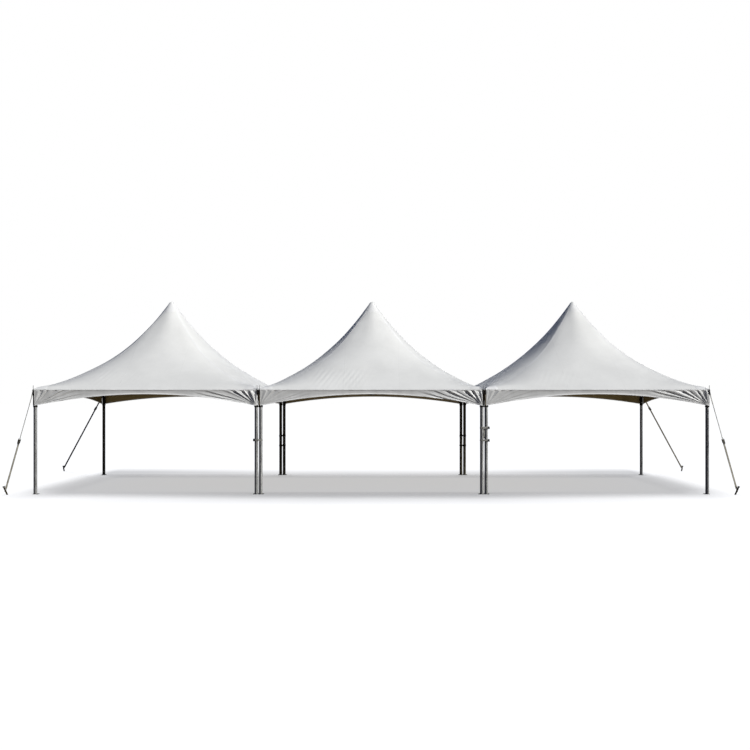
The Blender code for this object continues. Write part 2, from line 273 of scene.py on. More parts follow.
@dataclass(frozen=True)
class Metal:
    """A metal surface: drawn, pressed or galvanised, with the wear that it gathers."""

    name: str
    bright: str
    dull: str
    roughness: float
    metallic: float
    patch_mm: float = 60.0
    drawn: float = 0.12
    bump_mm: float = 0.15
    spangle_mm: float = 0.0
    stain: str = ""
    stain_share: float = 0.35

    def build(self) -> bpy.types.Material:
        """Makes the node material.

        Returns:
            The material.
        """
        p = Palette(self.name)
        where = p.place()
        lines = p.noise(p.place(scale=(1.0, 1.0, self.drawn)), 4.0, 3.0, 0.6)
        patches = p.noise(p.place(scale=(1.0, 1.0, 0.5)), self.patch_mm, 6.0, 0.62)
        mixed = p.maths("ADD", p.maths("MULTIPLY", patches, 0.75), p.maths("MULTIPLY", lines, 0.25))
        worn = p.spread(mixed, 0.4, 0.6, 0.0, 1.0)
        colour = p.blend(worn, linear(self.dull), linear(self.bright))
        height = lines
        if self.spangle_mm:
            cells = p.node("TexVoronoi", {"feature": "F1"}, Vector=where, Scale=1000.0 / self.spangle_mm)
            tint = p.node("SeparateXYZ", None, Vector=cells.outputs["Color"]).outputs["X"]
            colour = p.blend(p.maths("MULTIPLY", tint, 0.4), colour, linear(self.bright))
            height = p.maths("ADD", p.maths("MULTIPLY", tint, 0.3), lines)
        metallic: NodeInput = self.metallic
        if self.stain:
            spots = p.noise(where, self.patch_mm * 0.5, 7.0, 0.7)
            spots = p.spread(spots, 0.62 - self.stain_share * 0.3, 0.72, 0.0, 0.85)
            colour = p.blend(spots, colour, linear(self.stain))
            metallic = p.spread(spots, 0.0, 1.0, self.metallic, self.metallic * 0.25)
        rough = p.spread(worn, 0.0, 1.0, self.roughness + 0.14, self.roughness - 0.04)
        normal = p.bump(height, self.bump_mm, 0.6)
        p.feed(Base_Color=colour, Metallic=metallic, Roughness=rough, Normal=normal)
        return p.material


@dataclass(frozen=True)
class Woven:
    """Polyester webbing woven in a herringbone, with firm selvedges."""

    name: str
    clean: str
    soiled: str
    width: float
    roughness: float = 0.86
    row: float = 0.005
    cord: float = 0.004
    selvedge: float = 0.0025

    def build(self) -> bpy.types.Material:
        """Makes the node material.

        Returns:
            The material.
        """
        p = Palette(self.name)
        sheet = p.node("SeparateXYZ", None, Vector=p.place("UV"))
        across, along = sheet.outputs["X"], sheet.outputs["Y"]
        # The real threads are 1.4 mm apart, and are drawn 5 mm apart to show
        slant = p.maths("PINGPONG", across, 0.006)
        rows = p.maths("SINE", p.maths("MULTIPLY", p.maths("ADD", along, slant), math.tau / self.row))
        cords = p.maths("SINE", p.maths("MULTIPLY", across, math.tau / self.cord))
        woven = p.maths("ADD", p.maths("MULTIPLY", rows, 0.7), p.maths("MULTIPLY", cords, 0.3))
        weave = p.spread(woven, -1.0, 1.0, 0.0, 1.0)
        patches = p.spread(p.noise(p.place(), 90.0, 6.0, 0.65), 0.36, 0.64, 0.0, 1.0)
        colour = p.blend(patches, linear(self.soiled), linear(self.clean))
        colour = p.blend(p.spread(weave, 0.0, 0.5, 0.3, 0.0), colour, linear(self.soiled))
        edge = p.maths("GREATER_THAN", p.maths("ABSOLUTE", across), self.width / 2 - self.selvedge)
        colour = p.blend(p.maths("MULTIPLY", edge, 0.3), colour, linear(self.soiled))
        rough = p.spread(weave, 0.0, 1.0, self.roughness + 0.06, self.roughness - 0.06)
        p.feed(Base_Color=colour, Roughness=rough, Normal=p.bump(weave, 0.5, 0.7))
        p.feed(Sheen_Weight=0.15, Specular_IOR_Level=0.3)
        return p.material


Look = Vinyl | Metal | Woven

# The top's cloth: white, lacquered to a low gleam, a little chalky where rain dries
TOP_CLOTH = Vinyl("pvc_coated_polyester", "E8E8E6", "E1E1DF", 0.40, 0.45, seam_every=1.53)
# The valances' cloth: the same cloth in a darker grey, as painted shade on the upright valances, creased
# more, and splashed along the bottom
SHADE_GREYED_VALANCE_CLOTH = Vinyl("shade_greyed_pvc_valance", "D2D2D1", "C3C3C2", 0.40, 0.9, 0.5, foot_z=2.40)
# Seam laps, patches and hems: a second layer, cleaner and smoother
LAP_CLOTH = Vinyl("welded_pvc_lap", "EFEFEF", "E2E2E1", 0.33, 0.2)
# The inner face: a tan coat, flat, and blotched where damp has dried; its tan, darker than the outer cloth,
# is painted shade for the shaded inside of the tent
PAINTED_SHADE_LINING = Vinyl("shade_toned_coat_inner", "C2B184", "A5946A", 0.75, 0.9)
# The tongues at left ends: the same cloth in a dark brown, which is painted shade for the shaded inside of
# the slit
PAINTED_SHADE_TONGUE_CLOTH = Vinyl("painted_shade_pvc_flap", "5E5644", "3F3929", 0.60, 0.6)
# Front posts: extruded 6061 tube in mill finish, scuffed grey, with dark smears from handling
FRONT_TUBE = Metal(
    "mill_finish_6061_tube", "A8A8A6", "8E8E8C", 0.52, 0.35, 160.0, 0.03, 0.03,
    stain="57503F", stain_share=0.10,
)
# Outer front posts: the same tube in a darker grey, with the same dark smears
DARKER_FRONT_TUBE = Metal(
    "darker_front_6061_tube", "949493", "7E7E7D", 0.54, 0.35, 160.0, 0.03, 0.03,
    stain="5A4F3C", stain_share=0.10,
)
# Rear posts: the same tube in a dark brownish grey and less metallic, as painted shade for the posts that
# stand in the tent's shade
SHADED_REAR_TUBE = Metal("shade_darkened_6061_tube", "565243", "3C3729", 0.66, 0.10, 160.0, 0.03, 0.02)
# The rear right post: the same tube in a lighter grey than the other rear posts
PALE_REAR_TUBE = Metal("lighter_rear_6061_tube", "868788", "767676", 0.62, 0.15, 160.0, 0.03, 0.02)
# Rails, sleeves and bars: hot-dip galvanised steel in a near-black grey, with dark stains
FITTING_STEEL = Metal(
    "near_black_galvanised_steel", "34322E", "1B1A18", 0.5, 0.65, 40.0, 0.6, 0.3,
    spangle_mm=14.0, stain="2A2117",
)
# Foot plates: hot-dip galvanised plate with a coarse spangle, muddied
PLATE_STEEL = Metal(
    "galvanised_plate", "6D6C69", "42413E", 0.5, 0.7, 40.0, 0.8, 0.3,
    spangle_mm=12.0, stain="3B3226",
)
# Bolts, pins and the upright rods: zinc plate, bright
BOLT_STEEL = Metal("bright_zinc_plate", "B9B9B6", "7C7B78", 0.32, 0.85, 20.0, 0.8, 0.08)
# Weld beads: steel left grey and slightly burnt
WELD_METAL = Metal("mig_weld_bead", "77746E", "3D3933", 0.45, 0.8, 8.0, 1.0, 0.4)
# Masts: the same mill-finish tube, cleaner because the top keeps rain off
MAST_TUBE = Metal("sheltered_6061_tube", "A3A3A1", "7D7D7B", 0.38, 0.75, 90.0)
# Cables: galvanised wire rope, greased
WIRE_ROPE = Metal("galvanised_wire_rope", "7F7E7A", "45443F", 0.45, 0.75, 6.0, 0.25, 0.6)
# Ratchets: pressed steel in zinc plate, gone dull and dark in its folds
RATCHET_STEEL = Metal("zinc_plated_pressed_steel", "6F6C63", "45423A", 0.42, 0.55, 18.0, 0.7, stain="3A2C1E")
# Stakes: forged round bar, rusted brown with darker scale
FORGED_BAR = Metal(
    "rusted_forged_bar", "4A4029", "2A2417", 0.78, 0.25, 14.0, 0.5, 0.9,
    stain="15110C", stain_share=0.6,
)
# Guy straps, upper part: narrow pale webbing
PALE_WEBBING = Woven("pale_polyester_webbing", "CBCAC3", "B0AFA8", 0.025)
# Guy straps, lower part: broad webbing, greyer and darker than the upper part
DARKER_LOWER_WEBBING = Woven("darker_polyester_webbing", "B9B5A8", "8F8A7C", 0.050)
# The strap at the rear left and the bands on the legs: dark webbing
DARK_WEBBING = Woven("dark_polyester_webbing", "3B3A36", "282724", 0.050)
# The bands on the front legs: webbing bleached to the grey of the tubes
GREY_WEBBING = Woven("bleached_polyester_webbing", "9C9B96", "74736E", 0.050)
# The strap at the rear right: webbing stained by the ground
STAINED_WEBBING = Woven("stained_polyester_webbing", "8F8A7B", "716C5F", 0.050)


@dataclass
class Shop:
    """Keeps the built materials, and hands each finished piece to the frame."""

    built: dict[str, bpy.types.Material] = field(default_factory=dict)
    handed: list[str] = field(default_factory=list)

    def dress(self, item: Item, *looks: Look) -> Item:
        """Puts finishes on an object's material slots, building each on first use.

        Args:
            item: The object.
            looks: One finish a slot.

        Returns:
            The object.
        """
        item.data.materials.clear()
        for look in looks:
            if look.name not in self.built:
                self.built[look.name] = look.build()
            item.data.materials.append(self.built[look.name])
        return item

    def hand_over(self, item: Item, slot: str, *nodes: str) -> Item:
        """Moves a piece made round the bays' centre line to its place, and rides it on the frame.

        Args:
            item: The piece.
            slot: The record's material slot; not used.
            nodes: Nodes of the frame that it stands for.

        Returns:
            The piece.
        """
        item.data.transform(Matrix.Translation((0.0, -MIDDLE_Y, 0.0)))
        if nodes:
            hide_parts(*nodes)
        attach(item, "root")
        self.handed.append(item.name)
        return item


# Modelling by operators


def deselect() -> None:
    """Leaves edit mode and clears the selection."""
    if bpy.context.object and bpy.context.object.mode != "OBJECT":
        bpy.ops.object.mode_set(mode="OBJECT")
    bpy.ops.object.select_all(action="DESELECT")


def activate(*items: Item) -> None:
    """Selects these objects alone and makes the first active.

    Args:
        items: The objects.
    """
    deselect()
    for item in items:
        item.select_set(True)
    bpy.context.view_layer.objects.active = items[0]


def named(name: str) -> Item:
    """Names the object just added and puts its place into its mesh.

    Args:
        name: Its name, and its mesh's.

    Returns:
        The object.
    """
    item = bpy.context.object
    item.name = name
    item.data.name = name
    bpy.ops.object.transform_apply(location=True, rotation=True, scale=True)
    return item


def start_round(
    name: str, radius: float, start: Point, end: Point, facets: int = 24, end_radius: float | None = None
) -> Item:
    """Adds a cylinder or a cut cone from one point to another.

    Args:
        name: Its name.
        radius: Its radius at the start.
        start: Centre of its first end.
        end: Centre of its second end.
        facets: How many sides it has.
        end_radius: Its radius at the end, if that differs.

    Returns:
        The object.
    """
    deselect()
    low, high = Vector(start), Vector(end)
    bpy.ops.mesh.primitive_cone_add(
        vertices=facets,
        radius1=radius,
        radius2=radius if end_radius is None else end_radius,
        depth=(high - low).length,
        location=(low + high) / 2,
        rotation=(high - low).to_track_quat("Z", "Y").to_euler(),
    )
    return named(name)


def start_torus(
    name: str, radius: float, thin: float, facets: tuple[int, int], spot: Point = (0.0, 0.0, 0.0)
) -> Item:
    """Adds a torus that lies flat.

    Args:
        name: Its name.
        radius: Its radius, to the middle of the bar.
        thin: The bar's radius.
        facets: How many sides it has round the ring, and round the bar.
        spot: Its centre.

    Returns:
        The object.
    """
    deselect()
    ring = {"major_radius": radius, "minor_radius": thin, "location": spot}
    bpy.ops.mesh.primitive_torus_add(major_segments=facets[0], minor_segments=facets[1], **ring)
    return named(name)


def start_block(name: str, low: Point, high: Point) -> Item:
    """Adds a block between two corners.

    Args:
        name: Its name.
        low: Its lowest corner.
        high: Its highest corner.

    Returns:
        The object.
    """
    deselect()
    a, b = Vector(low), Vector(high)
    bpy.ops.mesh.primitive_cube_add(size=1.0, location=(a + b) / 2, scale=b - a)
    return named(name)


@contextmanager
def editing(item: Item) -> Iterator[None]:
    """Opens an object in edit mode with nothing selected, and closes it after.

    Args:
        item: The object.

    Yields:
        Nothing; the block runs in edit mode.
    """
    activate(item)
    bpy.ops.object.mode_set(mode="EDIT")
    bpy.ops.mesh.select_all(action="DESELECT")
    yield
    bpy.ops.object.mode_set(mode="OBJECT")


def pick_faces(item: Item, test: Picker) -> None:
    """Selects, in edit mode, only the faces whose middle and normal pass a test.

    Args:
        item: The object.
        test: Takes a face's middle and its normal.
    """
    bpy.ops.mesh.select_mode(type="FACE")
    bpy.ops.mesh.select_all(action="DESELECT")
    shape = bmesh.from_edit_mesh(item.data)
    for face in shape.faces:
        if test(face.calc_center_median(), face.normal):
            face.select_set(True)
    bmesh.update_edit_mesh(item.data)


def pick_edges(item: Item, test: Picker) -> None:
    """Selects, in edit mode, only the edges whose middle and direction pass a test.

    Args:
        item: The object.
        test: Takes an edge's middle and its direction, of length 1.
    """
    bpy.ops.mesh.select_mode(type="EDGE")
    bpy.ops.mesh.select_all(action="DESELECT")
    shape = bmesh.from_edit_mesh(item.data)
    for edge in shape.edges:
        first, second = edge.verts[0].co, edge.verts[1].co
        if test((first + second) / 2, (second - first).normalized()):
            edge.select_set(True)
    bmesh.update_edit_mesh(item.data)


def slice_at(point: Point, normal: Point) -> None:
    """Cuts the open mesh along the plane through a point with that normal, keeping both halves."""
    bpy.ops.mesh.select_all(action="SELECT")
    bpy.ops.mesh.bisect(plane_co=point, plane_no=normal)


def bevel_edges(item: Item, width: float, segments: int, test: Picker) -> None:
    """Bevels the edges that pass a test.

    Args:
        item: The object.
        width: How far the bevel reaches.
        segments: Its steps.
        test: Takes an edge's middle and its direction.
    """
    with editing(item):
        pick_edges(item, test)
        bpy.ops.mesh.bevel(offset=width, segments=segments, affect="EDGES")


def apply_modifier(item: Item, kind: str, **settings: object) -> None:
    """Adds a modifier and applies it.

    Args:
        item: The object that gets it.
        kind: Blender's name for the modifier type.
        settings: Its properties.
    """
    activate(item)
    modifier = item.modifiers.new(kind.lower(), kind)
    for name, value in settings.items():
        setattr(modifier, name, value)
    bpy.ops.object.modifier_apply(modifier=modifier.name)


def soften(item: Item, width: float, segments: int = 2, degrees: float = 30.0) -> None:
    """Rounds the edges sharper than an angle, by a width and in a number of segments."""
    limit = math.radians(degrees)
    apply_modifier(item, "BEVEL", width=width, segments=segments, limit_method="ANGLE", angle_limit=limit)


def smooth(item: Item, degrees: float = 40.0) -> Item:
    """Shades an object smooth except at edges sharper than the angle.

    Args:
        item: The object.
        degrees: The angle.

    Returns:
        The object.
    """
    activate(item)
    bpy.ops.object.shade_smooth_by_angle(angle=math.radians(degrees))
    return item


def face_out(item: Item) -> Item:
    """Turns a closed mesh's normals outwards.

    Args:
        item: The object.

    Returns:
        The object.
    """
    with editing(item):
        bpy.ops.mesh.select_all(action="SELECT")
        bpy.ops.mesh.normals_make_consistent(inside=False)
    return item


def drop(*items: Item) -> None:
    """Removes objects that have done their work."""
    for item in items:
        bpy.data.objects.remove(item, do_unlink=True)


def cut(item: Item, *tools: Item) -> None:
    """Cuts other objects' shapes out of an object, and removes them.

    Args:
        item: The object.
        tools: What is cut out of it.
    """
    for tool in tools:
        apply_modifier(item, "BOOLEAN", operation="DIFFERENCE", object=tool, solver="EXACT")
        drop(tool)


def join(name: str, items: Sequence[Item]) -> Item:
    """Joins objects into one.

    Args:
        name: Name of what they make.
        items: The objects; the first takes in the rest.

    Returns:
        The joined object.
    """
    activate(*items)
    if len(items) > 1:
        bpy.ops.object.join()
    item = bpy.context.object
    item.name = name
    item.data.name = name
    return item


def copy_of(item: Item, name: str, matrix: Matrix) -> Item:
    """Copies an object with a mesh of its own, moved by a matrix.

    Args:
        item: The object.
        name: The copy's name.
        matrix: Where the copy goes.

    Returns:
        The copy.
    """
    twin = item.copy()
    twin.data = item.data.copy()
    twin.name = name
    twin.data.name = name
    twin.data.transform(matrix)
    bpy.context.scene.collection.objects.link(twin)
    return twin


def hexagon_bolt(name: str, across: float = 0.017) -> Item:
    """Models a bolt head on its washer, at the origin and facing +Z.

    Args:
        name: Its name.
        across: Width of the head over its flats.

    Returns:
        The bolt.
    """
    washer = start_round(f"{name}_washer", across * 0.72, (0, 0, 0), (0, 0, 0.002), 16)
    head = start_round(f"{name}_head", across / math.sqrt(3.0), (0, 0, 0.002), (0, 0, 0.010), 6)
    with editing(head):
        pick_faces(head, lambda middle, normal: normal.z > 0.9)
        bpy.ops.mesh.inset(thickness=0.0016, depth=0.0012)
    stem = start_round(f"{name}_stem", across * 0.3, (0, 0, -0.012), (0, 0, 0.001), 10)
    return smooth(join(name, [washer, head, stem]))


# Modelling cloth and straps in mesh code


def object_from(
    name: str, verts: np.ndarray | Sequence, faces: Sequence[Sequence[int]], uv: np.ndarray | None = None
) -> Item:
    """Makes an object from points and faces.

    Args:
        name: Name of the object and its mesh.
        verts: Points, one a row.
        faces: Vertex numbers of each face.
        uv: Sheet coordinates of each point, in metres.

    Returns:
        The object, linked to the scene.
    """
    mesh = bpy.data.meshes.new(name)
    mesh.from_pydata([tuple(map(float, v)) for v in verts], [], [tuple(f) for f in faces])
    mesh.update()
    if uv is not None:
        layer = mesh.uv_layers.new(name="sheet")
        corners = np.empty(len(mesh.loops), dtype=np.int64)
        mesh.loops.foreach_get("vertex_index", corners)
        layer.uv.foreach_set("vector", np.asarray(uv, dtype=np.float32)[corners].ravel())
    item = bpy.data.objects.new(name, mesh)
    bpy.context.scene.collection.objects.link(item)
    return item


def grid_faces(rows: int, columns: int, closed: bool = False, start: int = 0) -> list[tuple[int, ...]]:
    """Gives the quads of a grid of points.

    Args:
        rows: Points down.
        columns: Points across.
        closed: Whether the last column joins the first.
        start: Number of the grid's first point.

    Returns:
        Vertex numbers of each quad.
    """
    quads = []
    for r in range(rows - 1):
        for c in range(columns if closed else columns - 1):
            after = (c + 1) % columns
            row = start + r * columns
            quads.append((row + c, row + columns + c, row + columns + after, row + after))
    return quads


class Strips:
    """Gathers grids of points, and makes one object of them."""

    def __init__(self) -> None:
        """Starts empty."""
        self.verts: list[np.ndarray] = []
        self.faces: list[Sequence[int]] = []
        self.uv: list[np.ndarray] = []

    def add(self, rows: Sequence[tuple[np.ndarray, np.ndarray]], closed: bool = False) -> int:
        """Adds a grid.

        Args:
            rows: The points and the sheet coordinates of each row.
            closed: Whether the last column joins the first.

        Returns:
            Number of the grid's first point.
        """
        start = sum(len(points) for points in self.verts)
        self.verts += [points for points, _ in rows]
        self.uv += [flat for _, flat in rows]
        self.faces += grid_faces(len(rows), len(rows[0][0]), closed, start)
        return start

    def make(self, name: str) -> Item:
        """Makes the object of all that was added."""
        return object_from(name, np.concatenate(self.verts), self.faces, np.concatenate(self.uv))


def ease(value: np.ndarray | float, low: float, high: float) -> np.ndarray | float:
    """Rises smoothly from 0 where the value is low to 1 where it is high."""
    share = np.clip((value - low) / (high - low), 0.0, 1.0)
    return share * share * (3.0 - 2.0 * share)


# Half of a strap's section round its middle, in shares of its half-width and half-thickness
HALF_SECTION = ((-1.0, -0.55), (-0.93, -1.0), (0.93, -1.0), (1.0, -0.55))
WEBBING_SECTION = HALF_SECTION + tuple((-a, -b) for a, b in HALF_SECTION)


def swept(name: str, rings: Sequence[Sequence[Vector]], closed: bool, uv: np.ndarray | None = None) -> Item:
    """Makes a closed body from rings of points along a path.

    Args:
        name: Its name.
        rings: One ring of points for each place along the path.
        closed: Whether the path is a loop.
        uv: Sheet coordinates of each point.

    Returns:
        The body.
    """
    sides, count = len(rings[0]), len(rings)
    points = [point for ring in rings for point in ring]
    faces: list[Sequence[int]] = list(grid_faces(count, sides, closed=True))
    last = (count - 1) * sides
    if closed:
        faces += [(last + c, c, (c + 1) % sides, last + (c + 1) % sides) for c in range(sides)]
    else:
        faces += [tuple(range(sides)), tuple(last + c for c in reversed(range(sides)))]
    return smooth(face_out(object_from(name, points, faces, uv)), 50.0)


def headings(path: Sequence[Vector], closed: bool) -> list[Vector]:
    """Gives a path's direction at each of its points.

    Args:
        path: The points.
        closed: Whether they make a loop.

    Returns:
        Directions, of length 1.
    """
    count = len(path)
    before = [path[i - 1] if i or closed else path[i] for i in range(count)]
    after = [path[(i + 1) % count] if i < count - 1 or closed else path[i] for i in range(count)]
    return [(b - a).normalized() for a, b in zip(before, after)]


def ribbon(name: str, path: Sequence[Vector], across: Sequence[Vector], width: float, thick: float) -> Item:
    """Makes a flat strap along a path.

    Args:
        name: Its name.
        path: Points along its middle.
        across: Its width's direction at each point, of length 1.
        width: Its width.
        thick: Its thickness.

    Returns:
        The strap.
    """
    rings, uv = [], []
    gone = 0.0
    for i, (along, wide) in enumerate(zip(headings(path, False), across)):
        normal = along.cross(wide).normalized()
        gone += (path[i] - path[i - 1]).length if i else 0.0
        rings.append([path[i] + wide * a * width / 2 + normal * b * thick / 2 for a, b in WEBBING_SECTION])
        uv += [(a * width / 2, gone) for a, _ in WEBBING_SECTION]
    return swept(name, rings, False, np.array(uv))


def round_tube(
    name: str, path: Sequence[Vector], radius: float, facets: int = 10, closed: bool = False
) -> Item:
    """Makes a round tube along a path.

    Args:
        name: Its name.
        path: Points along its middle.
        radius: Its radius.
        facets: How many sides it has.
        closed: Whether it is a loop.

    Returns:
        The tube.
    """
    rings = []
    side = Vector((0.0, 0.0, 1.0))
    turns = [math.tau * step / facets for step in range(facets)]
    for point, along in zip(path, headings(path, closed)):
        side = (side - along * side.dot(along)).normalized()
        other = along.cross(side)
        rings.append([point + (side * math.cos(t) + other * math.sin(t)) * radius for t in turns])
    return swept(name, rings, closed)


@dataclass(frozen=True)
class Fan:
    """Folds that spread from a valance's lower corner, deeper the further they run."""

    strength: float
    reach: float
    seed: int
    lowest: float = 0.06
    spacing: float = 0.30
    offset: float = 0.03

    def depth(self, across: np.ndarray, up: np.ndarray) -> np.ndarray:
        """Gives the folds' depth.

        Args:
            across: Distance along the valance from the corner, in metres.
            up: Height over the corner, in metres.

        Returns:
            Depth in metres, outwards.
        """
        draw = random.Random(self.seed)
        shifts = [draw.uniform(0.0, math.tau) for _ in range(4)]
        angle = np.arctan2(np.maximum(up, 0.0), np.maximum(across, 1e-4))
        run = np.hypot(across, up)
        bent = angle + 0.018 * np.sin(run * 3.1 + shifts[0]) + 0.010 * np.sin(angle * 17.0 + shifts[1])
        # The folds lie closer together the nearer they run to the bottom edge
        wide = self.spacing * (bent + self.offset)
        turn = math.tau * np.log(bent + self.offset) / self.spacing + shifts[2]
        # Each fold rises steeply on its lower side and runs out gently above
        wave = np.sin(turn + 0.45 * np.sin(turn)) + 0.25 * np.sin(turn * 0.5 + shifts[0])
        wave = wave + 0.14 * np.sin(turn * 2.6 + shifts[2])
        gain = 0.68 + 0.22 * np.sin(bent * 9.0 + shifts[3]) + 0.34 * np.sin(bent * 21.0 + shifts[1])
        shape = ease(angle, self.lowest * 0.4, self.lowest * 1.6) * (1.0 - ease(angle, 1.38, 1.57))
        length = ease(run, 0.02, 0.12) * (1.0 - ease(run, self.reach * 0.3, self.reach))
        return self.strength * wave * gain * shape * length * run * wide


@dataclass
class Canopy:
    """One bay's top: a roof drawn up to a crown, an arched valance on each side, and what is sewn to them."""

    shop: Shop
    bay: str
    centre: float
    seed: int
    eave_rise: float = 1.92
    curve_rise: float = 0.84
    corner_share: float = 0.22
    corner_power: float = 24.0
    crown: tuple[tuple[float, float], ...] = ((0.026, 5.54), (0.052, 5.50))
    flat_ring: float = 2.95
    across: int = 116
    down: int = 52
    cloth: float = 0.0012
    valance_end: float = 3.01
    corner_z: float = 2.40
    front_middle_z: float = 2.712
    other_middle_z: float = 2.652
    front_grid: tuple[int, int] = (430, 34)
    other_grid: tuple[int, int] = (230, 24)
    ridge: float = 0.055
    ridge_share: float = 0.30
    stripe: float = 0.0090
    stripe_every: float = 0.15
    drawn_in: float = 0.010
    neck_in: float = 0.008
    flare_out: float = 0.012
    stand_off: float = 0.042
    outer_limit: float = 0.050
    inner_limit: float = 0.0030
    trim: float = 0.0010

    def height(self, half: np.ndarray | float) -> np.ndarray | float:
        """Gives the roof's height where its ring has this half-width."""
        inwards = 1.0 - half / EAVE_HALF
        return EAVE_Z + self.eave_rise * inwards + self.curve_rise * inwards**3

    def power(self, half: np.ndarray | float) -> np.ndarray:
        """Gives the power of a ring's outline, from 2 for a round one to 400 for a square one.

        Args:
            half: The ring's half-width.

        Returns:
            The power.
        """
        out = np.minimum(1.0, np.asarray(half) / self.flat_ring)
        square = (1.0 - self.corner_share) * out**3 + self.corner_share * out**self.corner_power
        corner = np.minimum(math.sqrt(0.5) + (1.0 - math.sqrt(0.5)) * square, 0.99827)
        return -math.log(2.0) / np.log(corner)

    def ring(self, half: float) -> np.ndarray:
        """Gives points round one ring, round at the peak and square at the eave.

        Args:
            half: The ring's half-width.

        Returns:
            Points in plan, one a row.
        """
        places = np.linspace(-1.0, 1.0, self.across + 1)[:-1]
        places = np.sin(places * math.pi / 2) * 0.35 + places * 0.65
        reach = np.ones_like(places)
        if half < self.flat_ring * 0.996:
            power = float(self.power(half))
            reach = (np.abs(places) ** power + 1.0) ** (1.0 / power)
        side = np.stack([places, -np.ones_like(places)], axis=1) * (half / reach)[:, None]
        return np.concatenate([side @ np.array(s.turn().to_2x2()).T for s in Side])

    def height_at(self, x: np.ndarray, y: np.ndarray) -> np.ndarray:
        """Gives the roof's height over points in plan.

        Args:
            x: First coordinate from the bay's centre.
            y: Second coordinate.

        Returns:
            Heights, in metres.
        """
        ax, ay = np.abs(x), np.abs(y)
        big, small = np.maximum(ax, ay), np.minimum(ax, ay)
        half = big.copy()
        for _ in range(24):
            # Half steps, because whole ones swing about the answer near the eave
            power = self.power(half)
            half = (half + big * (1.0 + (small / np.maximum(big, 1e-6)) ** power) ** (1.0 / power)) / 2
        return self.height(np.minimum(half, EAVE_HALF))

    def wrinkles(self, points: np.ndarray) -> np.ndarray:
        """Gives the depth of the faint tension wrinkles of the roof.

        Args:
            points: Points of the roof in the bay's own frame.

        Returns:
            Depth at each point, in metres, outwards.
        """
        x, y, z = points.T
        up = z - EAVE_Z
        # The hips stand out a little as soft ridges, because the cloth is drawn tightest along them
        off_hip = np.abs(np.abs(x) - np.abs(y)) / np.maximum(np.abs(x) + np.abs(y), 1e-6)
        depth = self.ridge * np.exp(-((off_hip / self.ridge_share) ** 2))
        depth = depth * ease(up, 0.05, 0.6) * (1.0 - ease(up, 1.6, 2.5))
        for side in Side:
            angle = side.value * math.pi / 2
            along = x * math.cos(angle) + y * math.sin(angle)
            out = x * math.sin(angle) - y * math.cos(angle)
            facing = ease(out - np.abs(along) * 0.9, 0.0, 0.25)
            band = ease(up, 0.01, 0.08) * (1.0 - ease(up, 0.30, 0.68))
            strong = self.bay == "centre" and side is Side.FRONT
            where = np.exp(-(((along + 0.52) / 0.40) ** 2)) + 1.1 * np.exp(-(((along + 1.26) / 0.24) ** 2))
            where = where * (1.0 if strong else 0.35)
            stripe = np.sin(math.tau * (along - up * 0.72) / self.stripe_every + self.seed + side.value)
            stripe = stripe * (0.75 + 0.25 * np.sin(along * 5.1 + side.value + self.seed + 2.2))
            depth += self.stripe * facing * band * where * stripe
            # Each side is drawn in a little between the hips
            depth -= self.drawn_in * facing * ease(up, 0.0, 0.5) * (1.0 - ease(up, 1.6, 2.4))
        return depth

    def wrinkled(self, points: np.ndarray) -> np.ndarray:
        """Gives points of the roof moved outwards by its wrinkles.

        Args:
            points: Points of the smooth roof, one a row.

        Returns:
            The moved points.
        """
        outwards = points * np.array([1.0, 1.0, 0.0])
        outwards /= np.maximum(np.linalg.norm(outwards, axis=1), 1e-6)[:, None]
        outwards[:, 2] = 1.0
        return points + outwards * (self.wrinkles(points) / math.sqrt(2.0))[:, None]

    def roof(self) -> Item:
        """Makes the roof as one thin sheet.

        Returns:
            The roof.
        """
        steps = np.linspace(0.0, 1.0, self.down)
        halves = self.crown[-1][0] + (EAVE_HALF - self.crown[-1][0]) * steps**0.85
        halves[np.argmin(np.abs(halves - self.flat_ring))] = self.flat_ring
        levels = [*self.crown, *((float(w), float(self.height(w))) for w in halves[1:])]
        points, uv = [], []
        slope = 0.0
        for number, (half, z) in enumerate(levels):
            ring = self.ring(half)
            if number:
                slope += math.hypot(half - levels[number - 1][0], z - levels[number - 1][1])
            points.append(np.column_stack([ring, np.full(len(ring), z)]))
            uv.append(np.column_stack([np.tile(ring[: self.across, 0], 4), np.full(len(ring), slope)]))
        verts = self.wrinkled(np.concatenate([*points, np.array([[0.0, 0.0, PEAK_Z]])]))
        columns = len(points[0])
        faces: list[Sequence[int]] = list(grid_faces(len(levels), columns, closed=True))
        faces += [(len(verts) - 1, c, (c + 1) % columns) for c in range(columns)]
        return object_from(f"roof_{self.bay}", verts, faces, np.concatenate([*uv, np.zeros((1, 2))]))

    def fans(self, side: Side) -> tuple[Fan, Fan]:
        """Gives the folds at the left and right ends of one side's valance.

        Args:
            side: Which side.

        Returns:
            The left fan and the right fan.
        """
        number = self.seed * 10 + side.value
        if side is Side.FRONT:
            left = Fan(0.18, 1.5, number + 50) if self.bay == "left" else Fan(0.10, 1.6, number + 50)
            return left, Fan(0.26, 1.9, number)
        return Fan(0.09, 1.3, number + 50), Fan(0.12, 1.5, number)

    def is_outer(self, side: Side) -> bool:
        """Tells whether a side has no other bay next to it."""
        ends = {Side.LEFT: "left", Side.RIGHT: "right"}
        return side not in ends or ends[side] == self.bay

    def edge_z(self, side: Side, a: np.ndarray) -> np.ndarray:
        """Gives the heights of a valance's arched bottom edge at places along it from its middle."""
        middle = self.front_middle_z if side is Side.FRONT else self.other_middle_z
        return middle - (middle - self.corner_z) * (np.abs(a) / self.valance_end) ** 2

